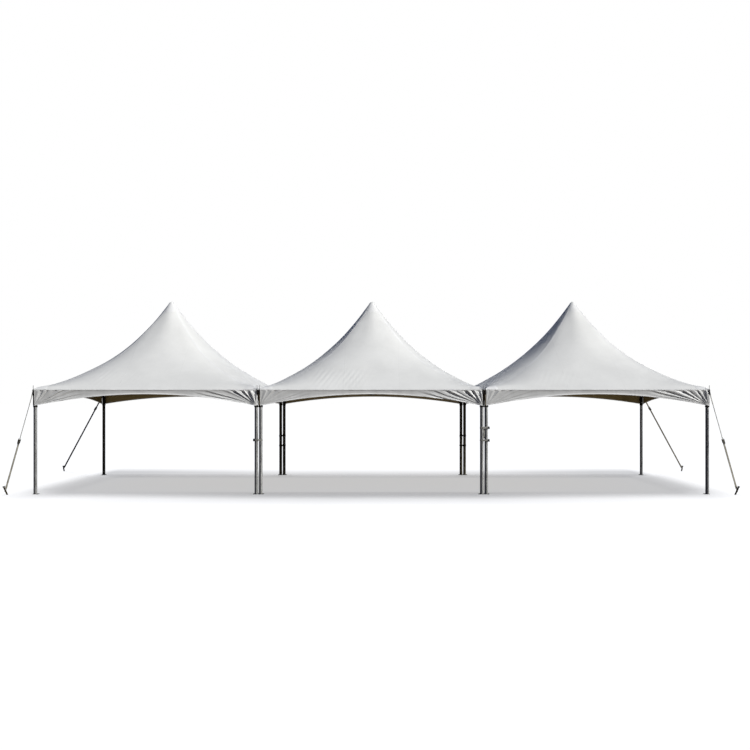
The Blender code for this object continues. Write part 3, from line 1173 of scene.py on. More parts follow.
    def valance_depth(self, side: Side, a: np.ndarray, z: np.ndarray) -> np.ndarray:
        """Gives how far the valance stands out from its flat place.

        Args:
            side: Which side of the bay.
            a: Place along the side from its middle, in metres.
            z: Height.

        Returns:
            Depth outwards, in metres.
        """
        left, right = self.fans(side)
        up = z - self.corner_z
        from_left, from_right = self.valance_end + a, self.valance_end - a
        depth = left.depth(from_left, up) + right.depth(from_right, up)
        phase = self.seed * 1.7 + side.value
        depth = depth + 0.0016 * np.sin(a * 9.0 + up * 14.0 + phase) * np.sin(a * 2.3 + phase)
        depth = depth + 0.003 * np.sin(a * 3.1 + phase) * ease(EAVE_Z - z, 0.05, 0.4)
        depth = depth * ease(EAVE_Z - z, 0.0, 0.05)
        # The cloth draws in below the eave and flares a little at the hem
        edge = self.edge_z(side, a)
        down = np.clip((EAVE_Z - z) / (EAVE_Z - edge), 0.0, 1.0)
        flare = self.flare_out * ease(down, 0.6, 1.0) - self.neck_in * ease(down, 0.0, 0.4)
        depth = depth + flare * ease(from_left, 0.1, 0.8) * ease(from_right, 0.1, 0.8)
        if side is Side.FRONT:
            # The right end stands off where its cord gathers it round the sleeve
            off = self.stand_off * (1.0 - ease(from_right, 0.03, 0.19)) * ease(EAVE_Z - z, 0.03, 0.14)
            depth = depth + off
        # Near its ends the cloth bears on the sleeves, so there the folds only stand outwards
        near_end = np.minimum(from_left, from_right)
        depth = depth + 0.004 * (1.0 - ease(near_end, 0.08, 0.25)) * ease(EAVE_Z - z, 0.0, 0.05)
        free = 0.017 * ease(near_end, 0.06, 0.16)
        if self.is_outer(side):
            # Below the rail and clear of the sleeves the folds may also sink in
            free = free + 0.025 * ease(near_end, 0.12, 0.35) * ease(EAVE_Z - z, 0.04, 0.10)
        depth = np.maximum(depth, -free)
        return np.minimum(depth, self.outer_limit if self.is_outer(side) else self.inner_limit)

    def side_points(
        self, side: Side, a: np.ndarray, z: np.ndarray, read_z: np.ndarray, lift: float
    ) -> np.ndarray:
        """Gives points lifted off one side's valance, with its folds read at heights of their own."""
        out = EAVE_HALF + lift + self.valance_depth(side, a, read_z)
        return np.column_stack([a, -out, z]) @ np.array(side.turn().to_3x3()).T

    def grid(self, side: Side) -> tuple[np.ndarray, int]:
        """Gives places along a valance, closer together towards its ends.

        Args:
            side: Which side of the bay.

        Returns:
            The places, and the number of rows that go with them.
        """
        columns, rows = self.front_grid if side is Side.FRONT else self.other_grid
        even = np.linspace(-1.0, 1.0, columns)
        return self.valance_end * (0.48 * even + 0.52 * np.sin(even * math.pi / 2)), rows

    def valance(self) -> Item:
        """Makes the four valances as one mesh of four thin sheets.

        Returns:
            The valances.
        """
        strips = Strips()
        for side in Side:
            a, count = self.grid(side)
            drop_to = self.edge_z(side, a) - EAVE_Z + 0.001
            levels = [EAVE_Z - 0.001 + drop_to * share for share in np.linspace(0.0, 1.0, count)]
            strips.add([(self.side_points(side, a, z, z, 0.001), np.column_stack([a, z])) for z in levels])
        return strips.make(f"valance_{self.bay}")

    def hem(self) -> Item:
        """Makes the folded hems along the valances' bottom edges.

        Returns:
            The hems.
        """
        strips = Strips()
        section = ((0.0018, 0.030), (0.0026, 0.016), (0.0030, 0.003), (0.0012, -0.001))
        section += ((-0.0012, -0.001), (-0.0016, 0.003), (-0.0014, 0.030))
        for side in Side:
            a = self.grid(side)[0][1:-1]
            edge, long = self.edge_z(side, a), len(a)
            rows = []
            for lift, up in section:
                points = self.side_points(side, a, edge + up, edge + max(up, 0.0), lift)
                rows.append((points, np.column_stack([a, edge + up])))
            start = strips.add(rows)
            last = start + (len(section) - 1) * long
            strips.faces += [(last + c, start + c, start + c + 1, last + c + 1) for c in range(long - 1)]
            strips.faces.append(tuple(start + r * long for r in range(len(section))))
            strips.faces.append(tuple(start + r * long + long - 1 for r in reversed(range(len(section)))))
        return strips.make(f"valance_hem_{self.bay}")

    def welt(self) -> Item:
        """Makes the round welt along the eave, between roof and valances.

        Returns:
            The welt.
        """
        reach, bend, radius, z = EAVE_HALF - 0.004, 0.014, 0.0115, EAVE_Z - 0.016
        path = []
        for side in Side:
            turn = side.turn()
            start, end = -reach + bend, reach - bend
            path += [turn @ Vector((start + (end - start) * i / 40, -reach, z)) for i in range(41)]
            middle = Vector((reach - bend, -reach + bend, z))
            for angle in (math.radians(30.0), math.radians(60.0)):
                path.append(turn @ (middle + Vector((math.sin(angle), -math.cos(angle), 0.0)) * bend))
        return round_tube(f"eave_welt_{self.bay}", path, radius, 10, closed=True)

    def lifted(self, plan: np.ndarray, lift: float | np.ndarray) -> np.ndarray:
        """Gives points on the roof over points in plan, lifted off it.

        Args:
            plan: Points in plan from the bay's centre, one a row.
            lift: How far off the cloth they lie.

        Returns:
            Points in the bay's frame.
        """
        x, y = plan.T
        base = self.wrinkled(np.column_stack([x, y, self.height_at(x, y)]))
        step = 1e-3
        slope_x = (self.height_at(x + step, y) - self.height_at(x - step, y)) / (2 * step)
        slope_y = (self.height_at(x, y + step) - self.height_at(x, y - step)) / (2 * step)
        normal = np.column_stack([-slope_x, -slope_y, np.ones_like(x)])
        normal /= np.linalg.norm(normal, axis=1)[:, None]
        return base + normal * np.reshape(lift, (-1, 1))

    def hip_laps(self) -> Item:
        """Makes the welded laps that run down the four hips.

        Returns:
            The laps.
        """
        strips = Strips()
        offsets = np.array([-0.032, -0.028, -0.012, 0.0, 0.012, 0.028, 0.032])
        lifts = np.array([0.0002, 0.0016, 0.0019, 0.0021, 0.0019, 0.0016, 0.0002])
        halves = np.linspace(0.16, EAVE_HALF - 0.006, 72)
        aside, inwards = np.array([1.0, 1.0]) / math.sqrt(2.0), np.array([-1.0, 1.0]) / math.sqrt(2.0)
        for side in Side:
            turn = np.array(side.turn().to_2x2())
            rows = []
            for half in halves:
                reach = 2.0 ** (1.0 / float(self.power(half))) if half < self.flat_ring * 0.996 else 1.0
                corner = np.array([half, -half]) / reach
                bend = np.abs(offsets) * min(1.0, half / self.flat_ring) * 0.93
                plan = corner + aside * offsets[:, None] + inwards * bend[:, None]
                flat = np.column_stack([offsets, np.full(len(offsets), half)])
                rows.append((self.lifted(plan @ turn.T, lifts), flat))
            strips.add(rows)
        return strips.make(f"hip_laps_{self.bay}")

    def patches(self) -> Item:
        """Makes the second layers of cloth: a round one at the crown and a rounded one at each corner.

        Returns:
            The patches.
        """
        strips = Strips()
        rings = ((0.055, 0.0016), (0.10, 0.0018), (0.16, 0.0018), (0.22, 0.0018))
        rings += ((0.27, 0.0017), (0.276, 0.0002))
        angles = np.arange(64) / 64 * math.tau
        rows = []
        for radius, lift in rings:
            scallop = 1.0 + 0.05 * np.cos(angles * 4.0) * (radius > 0.25)
            plan = np.column_stack([np.cos(angles), np.sin(angles)]) * (radius * scallop)[:, None]
            rows.append((self.lifted(plan, lift), plan))
        strips.add(rows, closed=True)
        arcs = ((0.004, 0.0026), (0.08, 0.0028), (0.18, 0.0028), (0.28, 0.0027))
        arcs += ((0.36, 0.0025), (0.368, 0.0004))
        angles = math.pi / 2 + np.linspace(0.0, 1.0, 13) * math.pi / 2
        tip = np.array([EAVE_HALF - 0.006, -EAVE_HALF + 0.006])
        for side in Side:
            turn = np.array(side.turn().to_2x2())
            rows = []
            for radius, lift in arcs:
                plan = tip + np.column_stack([np.cos(angles), np.sin(angles)]) * radius
                rows.append((self.lifted(plan @ turn.T, lift), plan))
            strips.add(rows)
        return strips.make(f"patches_{self.bay}")

    def tongues(self) -> Item:
        """Makes the tongues of cloth behind the slits at the front corners.

        Returns:
            The tongues.
        """
        strips = Strips()
        places = np.linspace(-1.0, 1.0, 7)
        top, foot = EAVE_Z - 0.045, self.corner_z
        for across in self.tongue_ends:
            rows = []
            for share in np.linspace(0.0, 1.0, 18):
                middle = self.valance_end + 0.020 - 0.006 * math.sin(share * 2.6)
                half = 0.009 + 0.010 * share
                # Each leans to the right, so the left bay's catches the light
                lean = 0.010 * (1.0 - across * places) / 2 + 0.003 * (1.0 - places**2)
                bulge = EAVE_HALF + 0.003 + lean * ease(share, 0.0, 0.4)
                z = np.full(len(places), top - (top - foot - 0.008) * share)
                points = np.column_stack([across * (middle + places * half), -bulge, z])
                rows.append((points, np.column_stack([places * half, z])))
            strips.add(rows)
        return strips.make(f"corner_tongues_{self.bay}")

    @property
    def tongue_ends(self) -> tuple[int, ...]:
        """The front corners that show a tongue."""
        return {"left": (1,), "centre": (-1,), "right": (-1, 1)}[self.bay]

    def make(self) -> list[Item]:
        """Makes, dresses and hands over the bay's top.

        Returns:
            Its pieces.
        """
        roof, valance = self.roof(), self.valance()
        # The valances' darker grey is painted shade
        for item, look in ((roof, TOP_CLOTH), (valance, SHADE_GREYED_VALANCE_CLOTH)):
            # The inner faces take the tan lining, which is painted shade
            self.shop.dress(item, look, PAINTED_SHADE_LINING)
            sides = {"material_offset": 1, "material_offset_rim": 0}
            apply_modifier(item, "SOLIDIFY", thickness=self.cloth, offset=-1.0, **sides)
        sewn = [self.hip_laps(), self.patches(), self.tongues()]
        for item in sewn:
            apply_modifier(item, "SOLIDIFY", thickness=self.trim, offset=0.0)
        edged = [self.hem(), self.welt()]
        for item in (*sewn, *edged):
            self.shop.dress(face_out(item), LAP_CLOTH)
        # The tongues at the left ends take a dark brown, painted shade for the shaded slit; those at right
        # ends stay pale
        if self.tongue_ends[0] < 0:
            self.shop.dress(sewn[2], PAINTED_SHADE_TONGUE_CLOTH, LAP_CLOTH)
            for face in sewn[2].data.polygons:
                face.material_index = int(face.center.x > 0.0)
        made = [roof, valance, *sewn, *edged]
        for item in made:
            item.data.transform(Matrix.Translation((self.centre, 0.0, 0.0)))
            self.shop.hand_over(smooth(item, 60.0), "vinyl", f"canopy_{self.bay}")
        return made


@dataclass
class Posts:
    """The twelve posts, each a tube welded to a square foot plate."""

    shop: Shop
    radius: float = LEG_R
    top: float = 2.785
    plate: float = 0.14
    inwards: float = 0.015
    plate_thick: float = 0.010
    hole_r: float = 0.008
    wall: float = 0.0035
    hollow: float = 0.08
    button_z: float = 2.24
    odd_tubes: dict[str, Metal] = field(
        default_factory=lambda: {
            "left_front_left": DARKER_FRONT_TUBE,
            "right_front_right": DARKER_FRONT_TUBE,
            "right_rear_right": PALE_REAR_TUBE,
        }
    )

    def tube(self) -> Item:
        """Models the tube, with an open top and two lock buttons.

        Returns:
            The tube.
        """
        tube = start_round("post_tube", self.radius, (0, 0, self.plate_thick - 0.001), (0, 0, self.top), 40)
        with editing(tube):
            pick_faces(tube, lambda middle, normal: normal.z > 0.9)
            bpy.ops.mesh.inset(thickness=self.wall, depth=0.0)
            bpy.ops.mesh.extrude_region_move(TRANSFORM_OT_translate={"value": (0.0, 0.0, -self.hollow)})
            for height in (0.35, 1.2, 2.05):
                slice_at((0, 0, height), (0, 0, 1))
        bevel_edges(tube, 0.0012, 2, lambda middle, along: middle.z > self.top - 0.001 and abs(along.z) < 0.1)
        parts = [tube]
        for turn in (math.pi / 4, math.pi * 5 / 4):
            away = Vector((math.cos(turn), math.sin(turn), 0.0))
            spot = away * (self.radius - 0.003) + Vector((0.0, 0.0, self.button_z))
            button = start_round("lock_button", 0.0052, spot, spot + away * 0.008, 14)
            with editing(button):
                pick_faces(button, lambda middle, normal, away=away: normal.dot(away) > 0.9)
                bpy.ops.mesh.inset(thickness=0.0018, depth=0.0012)
            parts.append(button)
        return smooth(join("post_tube", parts), 35.0)

    def foot(self) -> Item:
        """Models the foot plate, with rounded corners and two stake holes.

        Returns:
            The plate.
        """
        low, high, top = self.inwards - self.plate / 2, self.inwards + self.plate / 2, self.plate_thick
        plate = start_block("foot_plate", (low, low, 0.0), (high, high, top))
        bevel_edges(plate, 0.012, 4, lambda middle, along: abs(along.z) > 0.9)
        bevel_edges(plate, 0.0012, 1, lambda middle, along: middle.z > top - 1e-4 and abs(along.z) < 0.1)
        holes = []
        for x, y in ((high - 0.022, low + 0.030), (low + 0.030, high - 0.022)):
            holes.append(start_round("hole", self.hole_r, (x, y, -0.01), (x, y, 0.03), 20))
        cut(plate, *holes)
        return smooth(plate, 30.0)

    def weld(self) -> Item:
        """Models the rippled weld bead round the foot of the tube.

        Returns:
            The bead.
        """
        spot = (0.0, 0.0, self.plate_thick + 0.0005)
        bead = start_torus("weld_bead", self.radius + 0.0015, 0.0042, (56, 8), spot)

        def on_ripple(middle: Vector, normal: Vector) -> bool:
            """Tells whether a face lies on a raised ripple, of which there are 14."""
            return int((math.atan2(middle.y, middle.x) + math.pi) / math.tau * 28.0) % 2 == 0

        with editing(bead):
            pick_faces(bead, on_ripple)
            bpy.ops.transform.resize(value=(1.012, 1.012, 1.0), center_override=spot)
        return smooth(bead, 60.0)

    def make(self) -> list[Item]:
        """Makes the patterns, copies them to the twelve corners and hands the copies over.

        Returns:
            The posts.
        """
        patterns = {"post": self.tube(), "foot": self.foot(), "weld": self.weld()}
        finishes = {"foot": PLATE_STEEL, "weld": WELD_METAL}
        made = []
        for bay, centre in BAYS.items():
            for number, (corner, (across, front)) in enumerate(CORNERS.items()):
                spot = Matrix.Translation((centre + across * LEG_OFFSET, front * LEG_OFFSET, 0.0))
                spot = spot @ Matrix.Rotation(math.pi / 2 * number, 4, "Z")
                # The rear posts take the darker tube, which is painted shade
                look = self.odd_tubes.get(f"{bay}_{corner}", FRONT_TUBE if front < 0 else SHADED_REAR_TUBE)
                for name, pattern in patterns.items():
                    piece = copy_of(pattern, f"{name}_{bay}_{corner}", spot)
                    self.shop.dress(piece, finishes.get(name, look))
                    made.append(self.shop.hand_over(piece, "tube", f"leg_{bay}_{corner}"))
        drop(*patterns.values())
        return made


@dataclass
class EaveFrame:
    """The rails round each bay, and the sleeve, strap bar and upright pin at each corner."""

    shop: Shop
    rail_r: float = 0.030
    sleeve_bottom: float = 2.36
    sleeve_top: float = 2.8365
    collar_r: float = 0.0585
    collar_top: float = 2.395
    bar_r: float = 0.008
    bar_out: float = 3.122
    pin_y: float = 3.072
    pin_r: float = 0.007
    pin_top: float = 2.95

    def rail(self) -> Item:
        """Models one rail with its splice grooves and the bolts that lock it.

        Returns:
            The rail, along X at the front of a bay.
        """
        reach, front = LEG_OFFSET - SLEEVE_R + 0.01, -LEG_OFFSET
        rail = start_round("rail", self.rail_r, (-reach, front, RAIL_Z), (reach, front, RAIL_Z), 32)
        with editing(rail):
            for x in (-2.2, -0.152, -0.148, 0.148, 0.152, 2.2):
                slice_at((x, 0, 0), (1, 0, 0))
            pick_faces(rail, lambda middle, normal: 0.1475 < abs(middle.x) < 0.1525 and abs(normal.x) < 0.1)
            bpy.ops.transform.resize(value=(1.0, 0.93, 0.93), center_override=(0.0, front, RAIL_Z))
        parts = [rail]
        bolt = hexagon_bolt("rail_bolt")
        facing = Matrix.Rotation(-math.pi / 2, 4, "X")
        for x in (-2.88, -0.10, 0.10, 2.88):
            spot = Matrix.Translation((x, front + self.rail_r - 0.0005, RAIL_Z))
            parts.append(copy_of(bolt, "rail_bolt", spot @ facing))
        drop(bolt)
        return smooth(join("rail", parts), 35.0)

    def sleeve(self) -> Item:
        """Models one corner sleeve: socket, collar, clamp ears and bolts.

        Returns:
            The sleeve, at the front left of a bay.
        """
        x = y = -LEG_OFFSET
        sleeve = start_round("sleeve", SLEEVE_R, (x, y, self.sleeve_bottom), (x, y, self.sleeve_top), 36)
        bore = start_round("bore", LEG_R + 0.0005, (x, y, self.sleeve_bottom - 0.1), (x, y, 2.786), 36)
        cut(sleeve, bore)
        soften(sleeve, 0.0012, 2)
        low, high = (x, y, self.sleeve_bottom + 0.002), (x, y, self.collar_top)
        collar = start_round("collar", self.collar_r, low, high, 36)
        cut(collar, start_round("core", SLEEVE_R - 0.001, (x, y, 2.3), (x, y, 2.5), 36))
        soften(collar, 0.003, 3)
        parts = [sleeve, collar]
        inwards = Vector((1.0, 1.0, 0.0)).normalized()
        aside = Vector((-1.0, 1.0, 0.0)).normalized()
        for sign in (-1, 1):
            ear = start_block("ear", (-0.002, -0.006, 2.44), (0.026, 0.006, 2.74))
            low = Vector((x, y, 0.0)) + inwards * (SLEEVE_R - 0.004) + aside * sign * 0.009
            ear.data.transform(Matrix.Translation(low) @ Matrix.Rotation(math.pi / 4, 4, "Z"))
            soften(ear, 0.003, 3)
            parts.append(ear)
        bolt = hexagon_bolt("sleeve_bolt", 0.019)
        for height in (2.49, 2.59, 2.69):
            spot = Vector((x, y, height)) + inwards * (SLEEVE_R + 0.011) + aside * 0.0145
            turn = aside.to_track_quat("Z", "Y").to_matrix().to_4x4()
            parts.append(copy_of(bolt, "sleeve_bolt", Matrix.Translation(spot) @ turn))
        drop(bolt)
        return smooth(join("sleeve", parts), 35.0)

    def strap_bar(self) -> Item:
        """Models one strap bar with its end nut, latch plate and pin socket.

        Returns:
            The bar, at the front left of a bay.
        """
        x, end = -BAR_SIDE, -self.bar_out
        bar = start_round("bar", self.bar_r, (x, -LEG_OFFSET - 0.02, BAR_Z), (x, end, BAR_Z), 20)
        knob = start_round("knob", 0.013, (x, end + 0.006, BAR_Z), (x, end - 0.006, BAR_Z), 6)
        with editing(knob):
            pick_faces(knob, lambda middle, normal: abs(normal.y) > 0.9)
            bpy.ops.mesh.inset(thickness=0.002, depth=0.0015, use_individual=True)
        foot, top = (x, -self.pin_y, BAR_Z - 0.012), (x, -self.pin_y, BAR_Z + 0.024)
        socket = start_round("socket", 0.0105, foot, top, 18)
        soften(socket, 0.0015, 2)
        plate = start_block("latch", (x - 0.019, -3.0900, BAR_Z - 0.058), (x + 0.019, -3.0855, BAR_Z + 0.078))
        bevel_edges(plate, 0.014, 4, lambda middle, along: abs(along.y) > 0.9)
        cut(plate, start_round("eye", 0.0065, (x, -3.11, BAR_Z + 0.052), (x, -3.07, BAR_Z + 0.052), 20))
        soften(plate, 0.0008, 1)
        return smooth(join("strap_bar", [bar, knob, socket, plate]), 35.0)

    def upright(self) -> Item:
        """Models one upright pin with its rounded top and its stop ring.

        Returns:
            The pin, at the front left of a bay.
        """
        x, y = -BAR_SIDE, -self.pin_y
        pin = start_round("pin", self.pin_r, (x, y, BAR_Z - 0.008), (x, y, self.pin_top - 0.002), 18)
        with editing(pin):
            pick_faces(pin, lambda middle, normal: normal.z > 0.9)
            bpy.ops.mesh.inset(thickness=0.003, depth=0.002)
        ring = start_round("pin_ring", self.pin_r + 0.0025, (x, y, 2.862), (x, y, 2.870), 18)
        soften(ring, 0.001, 2)
        return smooth(join("upright", [pin, ring]), 40.0)

    def make(self) -> list[Item]:
        """Makes the patterns, copies them round each bay and hands the copies over.

        Returns:
            The frame's pieces.
        """
        rail, sleeve, bar, pin = self.rail(), self.sleeve(), self.strap_bar(), self.upright()
        made = []
        mirror = Matrix.Scale(-1.0, 4, (1, 0, 0))
        mirrored = [copy_of(pattern, pattern.name + "_other", mirror) for pattern in (bar, pin)]
        for twin in mirrored:
            twin.data.flip_normals()
        for bay, centre in BAYS.items():
            moved = Matrix.Translation((centre, 0.0, 0.0))
            rails = [copy_of(rail, "rail", moved @ side.turn()) for side in Side]
            sleeves = [copy_of(sleeve, "sleeve", moved @ side.turn()) for side in Side]
            bars, pins = [], []
            for across, front in CORNERS.values():
                # The bars run along Y at every corner, so the rear ones are half turns of the front ones
                turn = moved @ Matrix.Rotation(math.pi if front > 0 else 0.0, 4, "Z")
                own_bar, own_pin = (bar, pin) if across * front > 0 else mirrored
                bars.append(copy_of(own_bar, "bar", turn))
                pins.append(copy_of(own_pin, "pin", turn))
            groups = ((rails, "eave_rails", FITTING_STEEL), (sleeves, "corner_sleeves", FITTING_STEEL))
            groups += ((bars, "strap_bars", FITTING_STEEL), (pins, "upright_pins", BOLT_STEEL))
            for parts, name, look in groups:
                piece = self.shop.dress(join(f"{name}_{bay}", parts), look)
                made.append(self.shop.hand_over(piece, "fitting", f"eave_frame_{bay}"))
        drop(rail, sleeve, bar, pin, *mirrored)
        return made


@dataclass
class KingPoles:
    """The mast of each bay, on a hub that four crossed cables carry."""

    shop: Shop
    pole_r: float = 0.030
    hub_r: float = 0.070
    hub_z: float = 2.70
    hub_thick: float = 0.06
    cable_r: float = 0.005
    cable_z: float = 2.765
    splice_z: tuple[float, float] = (3.95, 4.07)
    head_z: tuple[float, float, float, float] = (5.41, 5.47, 5.4955, 5.5355)

    def mast(self) -> Item:
        """Models the mast with its splice collar, head cone and cap.

        Returns:
            The mast.
        """
        base = self.hub_z + self.hub_thick - 0.002
        tube = start_round("mast_tube", self.pole_r, (0, 0, base), (0, 0, 5.44), 36)
        low, high = self.splice_z
        splice = start_round("splice", self.pole_r + 0.0035, (0, 0, low), (0, 0, high), 36)
        soften(splice, 0.0018, 2)
        foot, neck, brim, top = self.head_z
        cone = start_round("head_cone", 0.028, (0, 0, foot), (0, 0, neck), 36, 0.044)
        drum = start_round("head_drum", 0.044, (0, 0, neck - 0.001), (0, 0, brim), 36, 0.047)
        cap = start_round("head_cap", 0.046, (0, 0, brim - 0.0005), (0, 0, top), 36, 0.023)
        soften(cap, 0.003, 3)
        bolt = hexagon_bolt("mast_bolt")
        parts = [tube, splice, cone, drum, cap]
        for height, turn, reach in ((3.98, 0.0, 0.033), (4.04, math.pi, 0.033), (2.80, math.pi / 2, 0.0295)):
            spin = Matrix.Rotation(turn, 4, "Z") @ Matrix.Translation((reach, 0.0, height))
            parts.append(copy_of(bolt, "mast_bolt", spin @ Matrix.Rotation(math.pi / 2, 4, "Y")))
        drop(bolt)
        return smooth(join("mast", parts), 35.0)

    def hub(self) -> Item:
        """Models the hub: a turned disc with a raised boss and four cable lugs.

        Returns:
            The hub.
        """
        top = self.hub_z + self.hub_thick
        disc = start_round("hub_disc", self.hub_r, (0, 0, self.hub_z), (0, 0, top - 0.014), 48)
        with editing(disc):
            pick_faces(disc, lambda middle, normal: normal.z > 0.9)
            bpy.ops.mesh.inset(thickness=0.024, depth=0.0)
            bpy.ops.mesh.extrude_region_move(TRANSFORM_OT_translate={"value": (0.0, 0.0, 0.0135)})
            pick_faces(disc, lambda middle, normal: normal.z < -0.9)
            bpy.ops.mesh.inset(thickness=0.010, depth=-0.006)
        soften(disc, 0.002, 2)
        parts = [disc]
        for step in range(4):
            lug = start_block("lug", (0.050, -0.005, top - 0.046), (0.068, 0.005, top - 0.012))
            lug.data.transform(Matrix.Rotation(math.pi / 4 + math.pi / 2 * step, 4, "Z"))
            soften(lug, 0.003, 3)
            parts.append(lug)
        return smooth(join("hub", parts), 35.0)

    def cables(self) -> Item:
        """Models the four cables, each with swaged ends and a turnbuckle.

        Returns:
            The cables.
        """
        parts = []
        for across, front in CORNERS.values():
            inwards = Vector((-across, -front, 0.0)).normalized()
            far = Vector((across * LEG_OFFSET, front * LEG_OFFSET, self.cable_z))
            far += inwards * (SLEEVE_R + 0.001)
            near = Vector((across * 0.03, front * 0.03, self.hub_z + self.hub_thick / 2))
            run = far - near
            along = run.normalized()
            parts.append(start_round("cable", self.cable_r, near, far, 10))
            for share in (0.022, 0.972):
                middle = near + run * share
                swage = start_round("swage", 0.0075, middle - along * 0.025, middle + along * 0.025, 14)
                soften(swage, 0.0015, 2)
                parts.append(swage)
            middle = near + run * 0.90
            body = start_round("turnbuckle", 0.010, middle - along * 0.09, middle + along * 0.09, 16)
            with editing(body):
                for shift in (-0.06, 0.06):
                    slice_at(middle + along * shift, along)
                pick_faces(body, lambda spot, normal, middle=middle: (spot - middle).length < 0.03)
                bpy.ops.transform.resize(value=(0.8, 0.8, 0.72), center_override=middle)
            soften(body, 0.002, 2)
            parts.append(body)
        return smooth(join("cables", parts), 35.0)

    def make(self) -> list[Item]:
        """Makes the patterns, copies them to each bay and hands the copies over.

        Returns:
            The masts, hubs and cables.
        """
        made = []
        patterns = ((self.mast(), MAST_TUBE), (self.hub(), PLATE_STEEL), (self.cables(), WIRE_ROPE))
        for bay, centre in BAYS.items():
            for pattern, look in patterns:
                piece = copy_of(pattern, f"{pattern.name}_{bay}", Matrix.Translation((centre, 0.0, 0.0)))
                made.append(self.shop.hand_over(self.shop.dress(piece, look), "mast", f"king_pole_{bay}"))
        drop(*(pattern for pattern, _ in patterns))
        return made


@dataclass
class Ratchet:
    """A webbing ratchet, modelled once: Z along the strap, X along its width, handle towards +Y."""

    half: float = 0.027
    cheek: float = 0.120
    back: float = 0.010
    spool_r: float = 0.012
    spool_at: tuple[float, float] = (0.004, 0.018)
    teeth: int = 12

    def wheel(self, x: float) -> Item:
        """Models a toothed wheel at this place along X.

        Args:
            x: Its middle.

        Returns:
            The wheel.
        """
        y, z = self.spool_at
        wheel = start_round("wheel", 0.0145, (x - 0.0014, y, z), (x + 0.0014, y, z), self.teeth * 2)
        facets = self.teeth * 2

        def on_tooth(middle: Vector, normal: Vector) -> bool:
            """Tells whether a face is a rim face that carries a tooth."""
            turn = math.atan2(middle.z - z, middle.y - y) / math.tau * facets
            return abs(normal.x) < 0.1 and round(turn - 0.5) % 2 == 0

        with editing(wheel):
            pick_faces(wheel, on_tooth)
            bpy.ops.mesh.extrude_faces_move(TRANSFORM_OT_shrink_fatten={"value": 0.0035})
        return wheel

    def grip(self) -> Item:
        """Models the handle: a pressed plate with a sunk panel, a rolled end and two ribs.

        Returns:
            The handle.
        """
        grip = start_block("grip", (-self.half - 0.006, 0.0255, -0.085), (self.half + 0.006, 0.0285, 0.030))
        with editing(grip):
            for height in (-0.030, -0.070):
                slice_at((0, 0, height), (0, 0, 1))
            pick_faces(grip, lambda middle, normal: normal.y > 0.9 and -0.069 < middle.z < -0.031)
            bpy.ops.mesh.inset(thickness=0.006, depth=0.0015)
            pick_faces(grip, lambda middle, normal: normal.z < -0.9)
            bpy.ops.mesh.extrude_region_move(TRANSFORM_OT_translate={"value": (0.0, -0.006, -0.003)})
            bpy.ops.mesh.extrude_region_move(TRANSFORM_OT_translate={"value": (0.0, -0.005, 0.002)})
        soften(grip, 0.0008, 1, 40.0)
        parts = [grip]
        for place in (-0.052, 0.008):
            rib = start_block("rib", (-0.018, 0.0284, place - 0.002), (0.018, 0.0304, place + 0.002))
            soften(rib, 0.0008, 1)
            parts.append(rib)
        return join("grip", parts)

    def steel(self) -> Item:
        """Models the cheeks, spool, wheels, bolt, handle and pawl.

        Returns:
            The steelwork.
        """
        parts = [self.grip()]
        y, z = self.spool_at
        for side in (-1, 1):
            low, high = sorted((side * self.half, side * (self.half + 0.0032)))
            cheek = start_block("cheek", (low, -self.back, -self.cheek / 2), (high, 0.018, self.cheek / 2))
            bevel_edges(cheek, 0.010, 4, lambda middle, along: abs(along.x) > 0.9)
            soften(cheek, 0.0006, 1)
            low, high = sorted((side * (self.half + 0.0036), side * (self.half + 0.0060)))
            arm = start_block("arm", (low, -0.006, -0.030), (high, 0.027, 0.029))
            bevel_edges(arm, 0.009, 3, lambda middle, along: abs(along.x) > 0.9)
            end = side * (self.half + 0.009)
            rivet = start_round("rivet", 0.008, (side * (self.half + 0.0055), y, z), (end, y, z), 16)
            with editing(rivet):
                pick_faces(rivet, lambda middle, normal, end=end: abs(middle.x - end) < 1e-4)
                bpy.ops.mesh.inset(thickness=0.003, depth=0.001)
            parts += [cheek, self.wheel(side * (self.half - 0.0025)), arm, rivet]
        end = self.half + 0.005
        parts.append(start_round("spool", self.spool_r * 0.7, (-end, y, z), (end, y, z), 18))
        end = self.half + 0.006
        bolt = start_round("bolt", 0.007, (-end, 0.0, -0.040), (end, 0.0, -0.040), 16)
        soften(bolt, 0.0015, 2)
        pawl = start_block("pawl", (-0.016, 0.014, -0.022), (0.016, 0.017, 0.010))
        soften(pawl, 0.001, 1)
        return smooth(join("ratchet_steel", [*parts, bolt, pawl]), 35.0)

    def winding(self) -> Item:
        """Models the webbing wound on the spool.

        Returns:
            The winding.
        """
        y, z = self.spool_at
        path = []
        for step in range(60):
            angle = step / 59 * math.tau * 2.6
            radius = 0.0098 + 0.0024 * angle / math.tau
            path.append(Vector((0.0, y + radius * math.sin(angle), z + radius * math.cos(angle))))
        across = [Vector((1.0, 0.0, 0.0))] * len(path)
        return ribbon("ratchet_winding", path, across, 2 * (self.half - 0.005), 0.002)


@dataclass(frozen=True)
class GuyLine:
    """Where one outer corner's strap, ratchet and stake are, as the frame has them."""

    bar: Vector
    foot: Vector
    head: Vector
    ratchet_share: float
    tie_share: float = 0.5

    @property
    def tie(self) -> Vector:
        """The point of the stake that the strap pulls at."""
        return self.foot.lerp(self.head, self.tie_share)

    @property
    def up(self) -> Vector:
        """The strap's direction, up towards the bar."""
        return (self.bar - self.tie).normalized()

    @property
    def sideways(self) -> Vector:
        """The direction of the strap's width."""
        return Vector((0.0, 1.0, 0.0)).cross(-self.up).normalized()

    @property
    def middle(self) -> Vector:
        """The ratchet's middle, between the strap's two ends."""
        return (self.bar - self.up * 0.016).lerp(self.tie + self.up * 0.055, self.ratchet_share)

    def turn(self) -> Matrix:
        """Gives the turn that takes Z up the strap and X along its width."""
        return Matrix((self.sideways, self.up.cross(self.sideways), self.up)).transposed().to_4x4()


